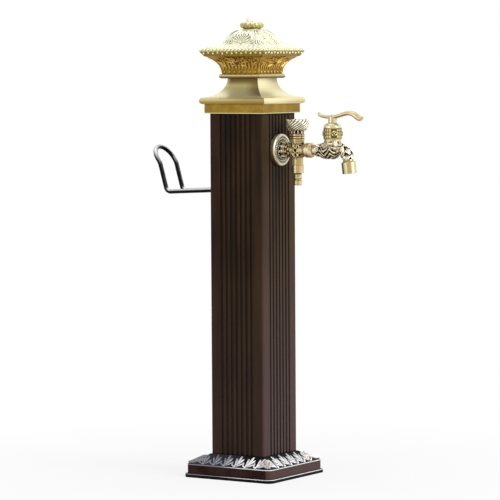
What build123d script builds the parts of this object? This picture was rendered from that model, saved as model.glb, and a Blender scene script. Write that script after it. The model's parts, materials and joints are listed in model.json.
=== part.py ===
from build123d import *
from math import atan2, cos, degrees, radians, sin, sqrt, tan
import os

os.makedirs("parts", exist_ok=True)

# Garden standpipe: a fluted square column on a cast base, with a cast cap, a bronze tap arm and a hose hook.
# Millimetres, +Z up. The origin is the centre of the foot on the ground. The tap arm leaves the -Y face of
# the post and the hose hook leaves the +Y face. Places along the arm are measured outwards from the -Y face.

# Fits and cuts
overrun = 5.0            # how far a cutter runs past the face that it opens
slip = 0.25              # gap on each side where one square piece slides over another
screw_clearance = 0.3    # radial gap of a screw, rod or tail in a plain hole
thread_gap = 0.05        # radial gap that stands for a screwed or soldered joint
running_gap = 0.06       # radial gap of a turning stem in its guide
rest_gap = 0.3           # gap between a turning piece and the fixed face under it

# Post: a square extrusion with flutes down each side
post_side = 108.0
post_wall = 4.0
post_corner = 3.0
post_inner_corner = 2.0
post_length = 644.0
flute_count = 7
flute_width = 4.5
flute_pitch = 10.1

# Floor plate with the welded spigot that the post slides over
plate_side = 152.0
plate_thick = 6.0
plate_corner = 8.0
anchor_pitch = 134.0
anchor_hole = 11.0
spigot_wall = 3.0
spigot_height = 70.0
spigot_corner = 4.0
supply_hole = 44.0
foot_screw_height = 18.0     # of the screws that hold the post to the spigot, above the plate

# Base skirt: a cast cover that drops over the post and hides the plate
foot_reach = 3.7             # of the foot flange past the band above it
foot_thick = 5.5
foot_corner = 12.0
plate_gap = 7.15             # between the floor plate and the inside of the band
band_top = 22.3
band_corner = 10.0
skirt_top = 39.3
skirt_wall = 4.0
skirt_lip = 2.0              # width of the flat rim round the post
slope_sag = 1.4              # how far the slope dips below a straight line

# Cap: collar, crown, lid, button and knob, all drawn down by one rod
collar_gap = 3.25            # between the post and the inside of the collar
collar_wall = 3.0
collar_drop = 16.0
collar_ledge = 2.0           # width of the post's end that stays bare inside the seat of the collar
rim_side = 134.0
rim_height = 11.6
rim_round = 5.4
rim_land = 3.0               # from the edge of the rim to the centre of the neck's curve
neck_radius = 33.0
cap_wall = 3.5
cap_web = 4.0
ring_round = 3.9
bowl_side = 76.0
bowl_straight = 1.6
bowl_radius = 30.0
bowl_reach = 22.5            # how far the flare runs outwards from the bottom of the bowl
brim_side = 133.0
brim_height = 10.95
brim_edge = 2.5
brim_land = 8.0              # width of the flat top of the brim under the lid
lid_side = 127.0
lid_lip = 2.0
lid_shoulder_side = 77.0
lid_shoulder_rise = 9.0
lid_dome_side = 71.2
lid_dome_rise = 13.0
lid_top_side = 39.0
lid_height = 35.5
dome_bulge_share = 0.62      # place of the middle of the dome curve between its foot and its top
button_radius = 20.0
button_height = 11.0
button_foot = 15.0
button_foot_height = 2.0
button_lobes = 16
lobe_radius = 2.2
button_crest = 12.0
knob_radius = 10.0
knob_height = 9.5
knob_skin = 3.0
knob_dome = 5.5
knob_waist = 2.0

# Tie rod and the bridge inside the top of the post
rod_radius = 4.0
rod_tail = 5.5               # length of rod under its nut
rod_nut_across = 13.0
rod_nut_height = 6.5
bridge_width = 36.0
bridge_thick = 3.0
bridge_leg = 22.0
bridge_bend = 4.0
bridge_screw_drop = 9.0      # of the bridge screws, under the top of the post

# Screws of the structure
screw_radius = 3.0
screw_head_radius = 5.5
screw_head_height = 2.6
screw_tail = 2.0             # length of a screw past what it clamps

# Supply pipe inside the post
riser_setback = 30.0         # from the -Y face of the post to the axis of the riser
riser_radius = 7.5
riser_wall = 1.0
riser_engagement = 14.0
solder_socket_wall = 2.5
elbow_radius = 13.0
elbow_drop = 26.0
elbow_mouth_depth = 6.0      # from the riser axis to the end of the wall tail inside the elbow
shelf_height = 60.0          # underside of the bracket shelf
bracket_thick = 4.0
bracket_width = 40.0
bracket_foot = 26.0
bracket_gap = 6.0            # from the supply hole to the web of the bracket
bracket_nose = 16.0          # from the riser axis to the front edge of the shelf
bracket_screw_pitch = 24.0
inlet_radius = 10.45
inlet_length = 30.0
inlet_across = 27.0
inlet_nut_height = 6.0
inlet_groove = 9.6           # radius of the groove at the end of the thread, under the nut
inlet_groove_length = 2.0
coupling_hex_height = 8.0

# Arm: wall tail, rosette, valve body, union and pipe
arm_drop = 79.5              # of the arm axis under the top of the post
tail_radius = 10.4
water_radius = 5.5
tail_bore = 6.0
tail_washer_radius = 16.0
tail_washer_thick = 2.0
tail_nut_across = 30.0
tail_nut_height = 6.0
rosette_radius = 28.0
rosette_rim = 6.0
rosette_crest = 8.0
rosette_hub = 13.0
rosette_depth = 16.0
rosette_ring = 1.6           # depth of the grooves between its rings
# Edges and crests of the rings, as shares of the way in from the rim to the hub
rosette_ring_shares = (0.056, 0.167, 0.333, 0.5, 0.583, 0.667, 0.75, 0.833, 0.917)
shoulder_radius = 13.5
shoulder_width = 4.0
hose_valve_out = 38.5
neck_out = 11.0
column_radius = 11.3
column_drop = 11.5           # how far the column reaches under the arm axis
outlet_neck = 9.6
outlet_shoulder = 25.9       # of the end of the outlet neck, under the arm axis
outlet_thread = 7.8
outlet_thread_length = 7.6
outlet_bore = 4.5
spigot_end_out = 62.0
spigot_thread = 9.2
spigot_root_out = 53.0
union_start_out = 53.3
union_end_out = 71.2
union_radius = 13.0
union_foot = 11.0
union_nose = 9.6
washer_thick = 2.2
flange_thick = 2.8
link_radius = 7.9
tap_back_out = 78.0
link_engagement = 10.0

# Ceramic cartridge, the same in both valves, measured upwards from its seat
seal_thick = 2.0
seal_mouth = 5.0
cartridge_radius = 8.2
cartridge_reach = 25.0
cartridge_flange = 9.8
cartridge_flange_thick = 2.0
chamber_gap = 0.8
disc_radius = 6.4
disc_thick = 3.0
disc_play = 0.1
port_radius = 1.7
port_place = 3.9
tang_length = 9.0
tang_width = 2.2
tang_depth = 1.5
tang_play = 0.1
fork_radius = 3.0
fork_height = 4.0
stem_collar = 6.3
stem_collar_height = 3.0
stem_radius = 4.0
window_width = 8.0
window_height = 3.5
stem_seal_radius = 0.9
stem_seal_height = 23.0

# Hose valve above the arm
hose_seat_drop = 6.5         # of the seat under the arm axis
bonnet_overlap = 2.0         # how far the bonnet screws down over the column
side_bonnet_radius = 12.5
side_bonnet_height = 10.6
side_band_shares = (0.2, 0.3, 0.5, 0.7, 0.8)    # heights of its bands and of the bead between them
side_neck_radius = 10.3
cage_radius = 11.5
cage_wall = 2.2
cage_height = 6.1
cage_slots = 10
slot_width = 3.2
slot_height = 4.2
crown_height = 21.0
crown_flare = 20.5
crown_lip = 21.5
crown_dish = 5.0
crown_hub = 6.5
petal_count = 6
petal_notch = 4.5
handle_screw_radius = 2.0
handle_screw_head = 3.6
handle_screw_length = 12.0
handle_roof = 3.0

# Hose outlet under the arm
hose_nut_across = 20.0
hose_nut_height = 13.6
hose_nut_round = 10.5        # radius that its corners are turned down to
hose_washer_thick = 2.0
nipple_flange_thick = 2.5
nut_lip = 1.5
nipple_neck = 6.75
nipple_neck_length = 6.5
nipple_bulge = 7.5
nipple_bulge_length = 5.0
nipple_groove = 6.2
nipple_groove_length = 3.0
nipple_length = 21.2
nipple_bore = 4.0
nipple_chamfer = 1.0

# Tap body, spout and nozzle
tap_valve_out = 109.2
tap_mouth = 10.5
tap_mouth_width = 3.5
tap_waist = 9.8
tap_waist_out = 84.0
belly_radius = 13.5
belly_out = 100.0
belly_end = 12.4
belly_end_out = 110.0
tap_column = 13.8            # radius of the valve column and of its round foot
tap_column_ring = 14.6
tap_column_top = 18.5        # above the arm axis
tap_ring_height = 2.6
tap_neck = 12.6
tap_neck_height = 18.0
spout_radius = 9.0
spout_bend = 27.7
spout_bore = 4.5
spout_bore_bend = 12.0
nozzle_out = 140.5
nozzle_drop = 18.0           # of the end of the spout under the arm axis
nozzle_tilt_angle = 7.0
nozzle_radius = 12.5
nozzle_length = 21.0
nozzle_chamfer = 2.4
nozzle_thread = 8.4
nozzle_thread_length = 9.0
nozzle_ledge = 6.5
nozzle_ledge_thick = 1.5
nozzle_washer_thick = 1.8
strainer_radius = 9.7
strainer_thick = 4.0
strainer_recess = 2.0
strainer_hole = 1.1
strainer_rings = 2
tap_bonnet_radius = 15.5
tap_bonnet_height = 28.4
tap_bonnet_round = 6.0
tap_bonnet_hub = 9.0
tap_bonnet_band = 0.9
tap_bonnet_roof = 3.4

# Lever
lever_hub = 7.65
lever_line = 10.8            # height of the lever's centre line above the bonnet
lever_long = 57.0
lever_short = 27.5
lever_rise = 7.0
lever_width = 7.0
lever_thick = 4.4
lever_screw_length = 16.0
# Each station: along the arm, up, half width and half thickness, as shares of the sizes above
long_arm_shares = [
    (0.30, 0.48, 0.90, 0.80),
    (0.58, 0.96, 1.0, 0.96),
    (0.80, 0.40, 1.08, 1.12),
    (1.0, -0.45, 0.9, 1.0),
]
short_arm_shares = [(1.0, 0.72, 0.60, 0.72), (0.55, 0.06, 0.75, 0.70)]
hub_shares = (0.0, 0.0, 0.94, 0.76)

# Hose hook: one bent rod on the back of the post
hook_height = 499.5
hook_wire = 4.0
hook_pitch_count = 2.5             # flute pitches from the middle of the post to each leg
hook_straight = 10.0
hook_reach = 110.0
hook_droop_angle = 2.7
hook_bend = 10.0
hook_rise = 53.0
hook_lean_angle = 16.0
hook_lip = 8.0
hook_lip_angle = 34.0
hook_kink = 25.0
hook_set_bend = 40.0
hook_stud = 3.0
hook_stud_length = 14.0
hook_washer_radius = 8.0
hook_washer_thick = 1.5
hook_nut_across = 10.0
hook_nut_height = 5.0

# Levels and places worked out from the sizes above
post_half = post_side / 2
band_side = plate_side + 2 * (plate_gap + skirt_wall)
foot_side = band_side + 2 * foot_reach
post_inner = post_half - post_wall
post_top = plate_thick + post_length
arm_height = post_top - arm_drop
nozzle_height = arm_height - nozzle_drop
neck_centre = rim_side / 2 - rim_land
neck_top = post_top + rim_height + neck_radius
ring_top = neck_top + 2 * ring_round
bowl_foot = ring_top + bowl_straight
bowl_edge = bowl_foot + sqrt(bowl_radius**2 - (bowl_radius - bowl_reach) ** 2)
crown_top = bowl_edge + brim_height
lid_top = crown_top + lid_height
button_top = lid_top + button_height
knob_top = button_top + knob_height
riser_y = riser_setback - post_half
hose_seat = arm_height - hose_seat_drop
hose_column_top = hose_seat + cartridge_reach
side_bonnet_top = hose_column_top - bonnet_overlap + side_bonnet_height
tap_bonnet_foot = arm_height + tap_column_top
tap_column_end = tap_bonnet_foot + tap_neck_height
tap_seat = tap_column_end - cartridge_reach
tap_bonnet_top = tap_bonnet_foot + tap_bonnet_height
lever_foot = tap_bonnet_top + rest_gap
lever_axis = tap_bonnet_top + lever_line
pocket_foot = seal_thick
disc_top = pocket_foot + 2 * disc_thick
collar_foot = disc_top + fork_height
pocket_top = collar_foot + stem_collar_height + disc_play
guide_radius = stem_radius + running_gap
foot_screw_level = plate_thick + foot_screw_height
bridge_screw_level = post_top - bridge_screw_drop
bracket_web_y = riser_y + supply_hole / 2 + bracket_gap
rod_nut_foot = post_top - bridge_thick - rod_nut_height
riser_top = arm_height - elbow_drop + riser_engagement
tail_reach = riser_setback - elbow_mouth_depth
elbow_mouth = post_wall + tail_washer_thick + tail_nut_height + slip
hook_half = hook_pitch_count * flute_pitch
outlet_end = arm_height - outlet_shoulder - outlet_thread_length
hose_nut_foot = arm_height - outlet_shoulder - hose_nut_height
side_stem_top = side_bonnet_top + rest_gap + cage_height + crown_height - crown_dish - handle_roof
tap_stem_top = lever_axis - handle_roof / 2
spout_start_out = nozzle_out - spout_bend * cos(radians(nozzle_tilt_angle))
spout_start_height = nozzle_height + spout_bend * (1 - sin(radians(nozzle_tilt_angle)))

# Planes of the arm: the first holds outlines drawn as (outwards, height), the second stands on the nozzle
arm_plane = Plane(origin=(0, -post_half, 0), x_dir=(0, -1, 0), z_dir=(-1, 0, 0))
nozzle_down = (sin(radians(nozzle_tilt_angle)), -cos(radians(nozzle_tilt_angle)))
nozzle_plane = Plane(
    origin=(0, -post_half - nozzle_out, nozzle_height),
    x_dir=(1, 0, 0),
    z_dir=(0, -nozzle_down[0], nozzle_down[1]),
)


def outline(*stops):
    """Closed face through the stops. A stop made of two points is an arc through the first to the second."""
    edges = []
    here = stops[0]
    for stop in stops[1:] + stops[:1]:
        is_arc = isinstance(stop[0], tuple)
        end = stop[1] if is_arc else stop
        edges.append(ThreePointArc(here, stop[0], end) if is_arc else Line(here, end))
        here = end
    return make_face(edges)


def turned(face):
    """Solid turned about the Z axis from a half outline drawn as (radius, height)."""
    return revolve(Plane.XZ * face, Axis.Z)


def square_turned(face, side):
    """Solid of square section whose four sides all have the half outline, mitred at the corners."""
    whole = face + mirror(face, Plane.YZ)
    slab = extrude(Plane.XZ * whole, side, both=True)
    return slab & (Rot(0, 0, 90) * slab)


def rod(radius, low, high):
    return Pos(0, 0, low) * Cylinder(radius, high - low, align=(Align.CENTER, Align.CENTER, Align.MIN))


def bore(radius, low, high):
    """Cutter that runs past both levels."""
    return rod(radius, low - overrun, high + overrun)


def ring(outer, inner, low, high):
    return rod(outer, low, high) - bore(inner, low, high)


def hex_prism(across, low, high):
    return Pos(0, 0, low) * extrude(RegularPolygon(across / 2, 6, major_radius=False), high - low)


def hex_nut(across, inner, low, high):
    return hex_prism(across, low, high) - bore(inner, low, high)


def block(x_size, y_size, low, high):
    return Pos(0, 0, low) * Box(x_size, y_size, high - low, align=(Align.CENTER, Align.CENTER, Align.MIN))


def rounded_block(side, corner, low, high):
    return Pos(0, 0, low) * extrude(RectangleRounded(side, side, corner), high - low)


def on_arm(solid):
    """Lays a solid drawn about Z along the arm, with its Z level as the distance out from the post."""
    return Pos(0, -post_half, arm_height) * Rot(90, 0, 0) * solid


def at_valve(out, solid):
    return Pos(0, -post_half - out, 0) * solid


def on_riser(solid):
    return Pos(0, riser_y, 0) * solid


def round_four(solid):
    return [Rot(0, 0, 90 * turn) * solid for turn in range(4)]


def screw_inwards(face_distance, height, clamped):
    """Pan head screw that enters the +X side of a square at the given distance from the axis."""
    shank = rod(screw_radius, -clamped - screw_tail, 0)
    head = rod(screw_head_radius, 0, screw_head_height)
    head = fillet(head.edges().filter_by(GeomType.CIRCLE).sort_by(Axis.Z)[-1], screw_head_height / 2)
    return Pos(face_distance, 0, height) * Rot(0, 90, 0) * (head + shank)


# Column


def fluted_section():
    section = RectangleRounded(post_side, post_side, post_corner)
    middle = (flute_count - 1) / 2
    for turn in range(4):
        for number in range(flute_count):
            groove = Pos((number - middle) * flute_pitch, post_half) * Circle(flute_width / 2)
            section -= Rot(0, 0, 90 * turn) * groove
    return section - RectangleRounded(2 * post_inner, 2 * post_inner, post_inner_corner)


def foot_screw_holes(radius):
    through = Pos(0, 0, foot_screw_level) * Rot(0, 90, 0) * bore(radius, -post_half, post_half)
    return [through, Rot(0, 0, 90) * through]


def bridge_screw_holes(radius):
    return Pos(0, 0, bridge_screw_level) * Rot(0, 90, 0) * bore(radius, -post_half, post_half)


def post():
    body = Pos(0, 0, plate_thick) * extrude(fluted_section(), post_length)
    body -= foot_screw_holes(screw_radius + screw_clearance)
    body -= bridge_screw_holes(screw_radius + screw_clearance)
    body -= on_arm(bore(tail_radius + screw_clearance, -post_wall, 0))
    stud_hole = rod(hook_stud + screw_clearance, post_inner - overrun, post_half + overrun)
    for x in (-hook_half, hook_half):
        body -= Pos(x, 0, hook_height) * Rot(-90, 0, 0) * stud_hole
    return body


def bracket_screw_at(x):
    return Pos(x, bracket_web_y + bracket_thick + (bracket_foot - bracket_thick) / 2, 0)


def floor_plate():
    outer = 2 * (post_inner - slip)
    inner = outer - 2 * spigot_wall
    spigot_top = plate_thick + spigot_height
    spigot = rounded_block(outer, spigot_corner, plate_thick, spigot_top)
    spigot -= rounded_block(inner, spigot_corner - spigot_wall, plate_thick, spigot_top + overrun)
    spigot -= foot_screw_holes(screw_radius + thread_gap)
    plate = rounded_block(plate_side, plate_corner, 0, plate_thick)
    for x in (-anchor_pitch / 2, anchor_pitch / 2):
        for y in (-anchor_pitch / 2, anchor_pitch / 2):
            plate -= Pos(x, y, 0) * bore(anchor_hole / 2, 0, plate_thick)
    plate -= on_riser(bore(supply_hole / 2, 0, plate_thick))
    for x in (-bracket_screw_pitch / 2, bracket_screw_pitch / 2):
        plate -= bracket_screw_at(x) * bore(screw_radius + thread_gap, 0, plate_thick)
    return plate + spigot


def post_screws():
    clamped = post_half - post_inner + slip + spigot_wall
    return round_four(screw_inwards(post_half, foot_screw_level, clamped))


def base_skirt():
    band_half = band_side / 2
    lip_half = post_half + slip + skirt_lip
    cavity_half = band_half - skirt_wall
    middle = ((band_half + lip_half) / 2 - slope_sag, (band_top + skirt_top) / 2 - slope_sag)
    under = ((cavity_half + lip_half) / 2 - slope_sag, (band_top + skirt_top) / 2 - slope_sag - skirt_wall)
    slope = outline(
        (0, 0),
        (band_half, 0),
        (band_half, band_top),
        (middle, (lip_half, skirt_top)),
        (0, skirt_top),
    )
    skirt = square_turned(slope, band_side) & rounded_block(band_side, band_corner, 0, skirt_top)
    skirt += rounded_block(foot_side, foot_corner, 0, foot_thick)
    cavity = outline(
        (0, -overrun),
        (cavity_half, -overrun),
        (cavity_half, band_top - skirt_wall / 2),
        (under, (lip_half, skirt_top - skirt_wall)),
        (0, skirt_top - skirt_wall),
    )
    skirt -= square_turned(cavity, band_side)
    opening = post_side + 2 * slip
    return skirt - rounded_block(opening, post_corner, 0, skirt_top + overrun)


# Cap


def cap_bridge():
    outer = post_inner - slip
    inner = outer - bridge_thick
    foot = post_top - bridge_leg
    strip = outline((0, foot), (outer, foot), (outer, post_top), (0, post_top))
    strip += mirror(strip, Plane.YZ)
    roof = post_top - bridge_thick
    hollow = outline((0, foot - overrun), (inner, foot - overrun), (inner, roof), (0, roof))
    strip -= hollow + mirror(hollow, Plane.YZ)
    bridge = extrude(Plane.XZ * strip, bridge_width / 2, both=True)
    corners = bridge.edges().filter_by(Axis.Y).group_by(Axis.Z)[-1]
    bridge = fillet(corners, bridge_bend)
    bridge -= rod(rod_radius + screw_clearance, foot, post_top + overrun)
    return bridge - bridge_screw_holes(screw_radius + thread_gap)


def bridge_screws():
    screw = screw_inwards(post_half, bridge_screw_level, post_half - post_inner + slip + bridge_thick)
    return [screw, Rot(0, 0, 180) * screw]


def cap_collar():
    skirt_half = post_half + collar_gap + collar_wall
    rim_half = rim_side / 2
    rim_top = post_top + rim_height
    rounding = rim_round * (1 - sqrt(1 / 2))
    seat_half = post_inner + collar_ledge
    shell_radius = neck_radius + cap_wall
    arc_share = sqrt(1 / 2)
    outer = outline(
        (0, post_top - collar_drop),
        (skirt_half, post_top - collar_drop),
        (skirt_half, post_top),
        (rim_half - rim_round, post_top),
        ((rim_half - rounding, post_top + rounding), (rim_half, post_top + rim_round)),
        (rim_half, rim_top - rim_round),
        ((rim_half - rounding, rim_top - rounding), (rim_half - rim_round, rim_top)),
        (
            (neck_centre - neck_radius * arc_share, neck_top - neck_radius * arc_share),
            (neck_centre - neck_radius, neck_top),
        ),
        (0, neck_top),
    )
    shell_foot = neck_top - sqrt(shell_radius**2 - (neck_centre - seat_half) ** 2)
    web_half = neck_centre - sqrt(shell_radius**2 - cap_web**2)
    inner = outline(
        (0, post_top - collar_drop - overrun),
        (post_half + collar_gap, post_top - collar_drop - overrun),
        (post_half + collar_gap, post_top),
        (seat_half, post_top),
        (seat_half, shell_foot),
        (
            (neck_centre - shell_radius * arc_share, neck_top - shell_radius * arc_share),
            (web_half, neck_top - cap_web),
        ),
        (0, neck_top - cap_web),
    )
    collar = square_turned(outer, rim_side) - square_turned(inner, rim_side)
    return collar - bore(rod_radius + screw_clearance, post_top, neck_top)


def cap_crown():
    bowl_half = bowl_side / 2
    centre = bowl_half + bowl_radius
    edge = bowl_half + bowl_reach
    brim_half = brim_side / 2
    arc_share = sqrt(1 / 2)
    shell_radius = bowl_radius + cap_wall
    lip_half = brim_half - brim_land
    shell_edge = bowl_foot + sqrt(shell_radius**2 - (centre - edge + cap_wall) ** 2)
    outer = outline(
        (0, neck_top),
        (bowl_half, neck_top),
        ((bowl_half + ring_round, neck_top + ring_round), (bowl_half, ring_top)),
        (bowl_half, bowl_foot),
        ((centre - bowl_radius * arc_share, bowl_foot + bowl_radius * arc_share), (edge, bowl_edge)),
        (brim_half, crown_top - brim_edge),
        (brim_half - brim_edge / 2, crown_top),
        (0, crown_top),
    )
    inner = outline(
        (0, neck_top + cap_web),
        (bowl_half - cap_wall, neck_top + cap_web),
        (bowl_half - cap_wall, bowl_foot),
        (
            (centre - shell_radius * arc_share, bowl_foot + shell_radius * arc_share),
            (edge - cap_wall, shell_edge),
        ),
        (lip_half, crown_top),
        (lip_half, crown_top + overrun),
        (0, crown_top + overrun),
    )
    crown = square_turned(outer, brim_side) - square_turned(inner, brim_side)
    return crown - bore(rod_radius + screw_clearance, neck_top, ring_top)


def cap_lid():
    lid_half = lid_side / 2
    shoulder = (lid_shoulder_side / 2, crown_top + lid_shoulder_rise)
    dome_foot = (lid_dome_side / 2, crown_top + lid_dome_rise)
    dome_top = (lid_top_side / 2, lid_top - lid_lip)
    bulge_x = dome_foot[0] + (dome_top[0] - dome_foot[0]) * (1 - dome_bulge_share)
    bulge_z = dome_foot[1] + (dome_top[1] - dome_foot[1]) * dome_bulge_share
    outer = outline(
        (0, crown_top),
        (lid_half, crown_top),
        (lid_half, crown_top + lid_lip),
        shoulder,
        dome_foot,
        ((bulge_x, bulge_z), dome_top),
        (dome_top[0] - lid_lip, lid_top),
        (0, lid_top),
    )
    inner = outline(
        (0, crown_top - overrun),
        (lid_half - brim_land, crown_top - overrun),
        (lid_half - brim_land, crown_top),
        (shoulder[0] - cap_wall, shoulder[1] - cap_wall),
        (dome_foot[0] - cap_wall, dome_foot[1] - cap_wall),
        ((bulge_x - cap_wall, bulge_z - cap_wall), (dome_top[0] - cap_wall, dome_top[1] - cap_wall)),
        (0, dome_top[1] - cap_wall),
    )
    lid = square_turned(outer, lid_side) - square_turned(inner, lid_side)
    return lid - bore(rod_radius + screw_clearance, crown_top, lid_top)


def cap_button():
    foot = lid_top + button_foot_height
    belly = (foot + button_top) / 2
    body = turned(
        outline(
            (0, lid_top),
            (button_foot, lid_top),
            (button_foot, foot),
            ((button_radius, belly - button_foot_height), (button_crest, button_top)),
            (0, button_top),
        )
    )
    for number in range(button_lobes):
        notch = Pos(button_radius + lobe_radius / 2, 0, 0) * bore(lobe_radius, lid_top, button_top)
        body -= Rot(0, 0, 360 * number / button_lobes) * notch
    return body - bore(rod_radius + screw_clearance, lid_top, button_top)


def finial_knob():
    body = rod(knob_radius, button_top, knob_top)
    rims = body.edges().filter_by(GeomType.CIRCLE).sort_by(Axis.Z)
    body = fillet(rims[-1], knob_dome)
    foot_rim = body.edges().filter_by(GeomType.CIRCLE).sort_by(Axis.Z)[0]
    body = fillet(foot_rim, knob_waist)
    return body - rod(rod_radius + thread_gap, button_top - overrun, knob_top - knob_skin)


def tie_rod():
    return rod(rod_radius, rod_nut_foot - rod_tail, knob_top - knob_skin - slip)


def tie_nut():
    return hex_nut(rod_nut_across, rod_radius + thread_gap, rod_nut_foot, rod_nut_foot + rod_nut_height)


# Supply pipe


def inlet_bracket():
    back = bracket_web_y + bracket_thick
    shelf_top = shelf_height + bracket_thick
    foot_top = plate_thick + bracket_thick
    side = Plane.YZ * make_face(
        Polyline(
            (bracket_web_y, plate_thick),
            (bracket_web_y + bracket_foot, plate_thick),
            (bracket_web_y + bracket_foot, foot_top),
            (back, foot_top),
            (back, shelf_top),
            (riser_y - bracket_nose, shelf_top),
            (riser_y - bracket_nose, shelf_height),
            (bracket_web_y, shelf_height),
            close=True,
        )
    )
    bracket = extrude(side, bracket_width / 2, both=True)
    bracket -= on_riser(bore(inlet_radius + screw_clearance, shelf_height, shelf_top))
    screw_hole = bore(screw_radius + screw_clearance, plate_thick, foot_top)
    for x in (-bracket_screw_pitch / 2, bracket_screw_pitch / 2):
        bracket -= bracket_screw_at(x) * screw_hole
    return bracket


def bracket_screws():
    foot_top = plate_thick + bracket_thick
    shank = rod(screw_radius, screw_tail, foot_top)
    head = rod(screw_head_radius, foot_top, foot_top + screw_head_height)
    screw = shank + head
    return [bracket_screw_at(x) * screw for x in (-bracket_screw_pitch / 2, bracket_screw_pitch / 2)]


def inlet_coupling():
    shelf_top = shelf_height + bracket_thick
    hex_top = shelf_top + coupling_hex_height
    socket_top = hex_top + riser_engagement
    nut_foot = shelf_height - inlet_nut_height
    body = rod(inlet_radius, shelf_top - inlet_length, shelf_top)
    body -= ring(inlet_radius + overrun, inlet_groove, nut_foot - inlet_groove_length, nut_foot)
    body += hex_prism(inlet_across, shelf_top, hex_top)
    body += rod(riser_radius + solder_socket_wall, hex_top, socket_top)
    body -= rod(riser_radius + thread_gap, hex_top, socket_top + overrun)
    return on_riser(body - bore(riser_radius - riser_wall, shelf_top - inlet_length, hex_top))


def inlet_lock_nut():
    nut_foot = shelf_height - inlet_nut_height
    return on_riser(hex_nut(inlet_across, inlet_radius + thread_gap, nut_foot, shelf_height))


def riser_pipe():
    foot = shelf_height + bracket_thick + coupling_hex_height
    return on_riser(ring(riser_radius, riser_radius - riser_wall, foot, riser_top))


def top_elbow():
    tail_end = riser_setback - elbow_mouth
    down = rod(elbow_radius, arm_height - elbow_drop, arm_height)
    along = Pos(0, 0, arm_height) * Rot(90, 0, 0) * rod(elbow_radius, 0, tail_end)
    body = down + along + Pos(0, 0, arm_height) * Sphere(elbow_radius)
    body -= rod(riser_radius + thread_gap, arm_height - elbow_drop - overrun, riser_top)
    body -= rod(riser_radius - riser_wall, riser_top - overrun, arm_height)
    body -= Pos(0, 0, arm_height) * Sphere(riser_radius - riser_wall)
    across = Pos(0, 0, arm_height) * Rot(90, 0, 0)
    body -= across * rod(tail_bore, 0, tail_end)
    body -= across * rod(tail_radius + thread_gap, riser_setback - tail_reach, tail_end + overrun)
    return on_riser(body)


def tail_washer():
    foot = -post_wall - tail_washer_thick
    return on_arm(ring(tail_washer_radius, tail_radius + screw_clearance, foot, -post_wall))


def tail_lock_nut():
    foot = -post_wall - tail_washer_thick
    return on_arm(hex_nut(tail_nut_across, tail_radius + thread_gap, foot - tail_nut_height, foot))


# Arm


def wall_rosette():
    crest = rosette_crest - rosette_ring
    width = rosette_radius - rosette_hub
    stops = [rosette_radius - share * width for share in rosette_ring_shares]
    face = outline(
        (tail_radius + screw_clearance, 0),
        (rosette_radius, 0),
        (rosette_radius, rosette_rim),
        ((stops[0], (rosette_rim + 2 * rosette_crest) / 3), (stops[1], rosette_crest)),
        (stops[2], rosette_crest),
        (stops[2], crest),
        (stops[3], crest),
        ((stops[4], rosette_crest), (stops[5], crest)),
        ((stops[6], rosette_crest), (stops[7], crest)),
        (stops[8], crest),
        ((rosette_hub, (crest + rosette_depth) / 2), (rosette_hub, rosette_depth)),
        (tail_radius + screw_clearance, rosette_depth),
    )
    return on_arm(turned(face))


def valve_body():
    shoulder_end = rosette_depth + shoulder_width
    along = rod(tail_radius, -tail_reach, rosette_depth)
    along += rod(shoulder_radius, rosette_depth, shoulder_end)
    along += rod(neck_out, shoulder_end, spigot_root_out)
    along += rod(spigot_thread, spigot_root_out, spigot_end_out)
    cove = outline(
        (0, arm_height - outlet_shoulder),
        (outlet_neck, arm_height - outlet_shoulder),
        (outlet_neck, arm_height - column_drop - (column_radius - outlet_neck)),
        (column_radius, arm_height - column_drop),
        (column_radius, hose_column_top - bonnet_overlap),
        (side_neck_radius, hose_column_top - bonnet_overlap),
        (side_neck_radius, hose_column_top),
        (0, hose_column_top),
    )
    body = on_arm(along) + at_valve(hose_valve_out, turned(cove))
    thread_foot = arm_height - outlet_shoulder - outlet_thread_length
    body += at_valve(hose_valve_out, rod(outlet_thread, thread_foot, arm_height - outlet_shoulder))
    body -= on_arm(bore(tail_bore, -tail_reach, spigot_end_out))
    chamber = rod(cartridge_radius + chamber_gap, hose_seat, hose_column_top + overrun)
    body -= at_valve(hose_valve_out, chamber)
    return body - at_valve(hose_valve_out, bore(outlet_bore, thread_foot, hose_seat))


def union_washer():
    return on_arm(ring(spigot_thread, water_radius, spigot_end_out, spigot_end_out + washer_thick))


def link_pipe():
    flange_foot = spigot_end_out + washer_thick
    pipe = rod(spigot_thread, flange_foot, flange_foot + flange_thick)
    pipe += rod(link_radius, flange_foot, tap_back_out + link_engagement)
    return on_arm(pipe - bore(water_radius, flange_foot, tap_back_out + link_engagement))


def union_nut():
    flange_end = spigot_end_out + washer_thick + flange_thick
    middle = (union_start_out + union_end_out) / 2
    face = outline(
        (spigot_thread + thread_gap, union_start_out),
        (union_foot, union_start_out),
        ((union_radius, (union_start_out + middle) / 2), (union_radius, middle)),
        ((union_radius, (union_end_out + middle) / 2), (union_nose, union_end_out)),
        (link_radius + thread_gap, union_end_out),
        (link_radius + thread_gap, flange_end),
        (spigot_thread + thread_gap, flange_end),
    )
    return on_arm(turned(face))


# Ceramic cartridge, drawn about Z with its seat at level 0


def cartridge_seal():
    return ring(cartridge_radius, seal_mouth, 0, seal_thick)


def cartridge_shell():
    pocket = disc_radius + disc_play
    flange_top = cartridge_reach + cartridge_flange_thick
    shell = turned(
        outline(
            (pocket, seal_thick),
            (cartridge_radius, seal_thick),
            (cartridge_radius, cartridge_reach),
            (cartridge_flange, cartridge_reach),
            (cartridge_flange, flange_top),
            (guide_radius, flange_top),
            (guide_radius, pocket_top),
            (pocket, pocket_top),
        )
    )
    window_foot = disc_top + disc_play
    window_depth = 2 * (cartridge_radius + overrun)
    return shell - block(window_width, window_depth, window_foot, window_foot + window_height)


def ported_disc(low):
    disc = rod(disc_radius, low, low + disc_thick)
    for y in (-port_place, port_place):
        disc -= Pos(0, y, 0) * bore(port_radius, low, low + disc_thick)
    return disc


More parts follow.
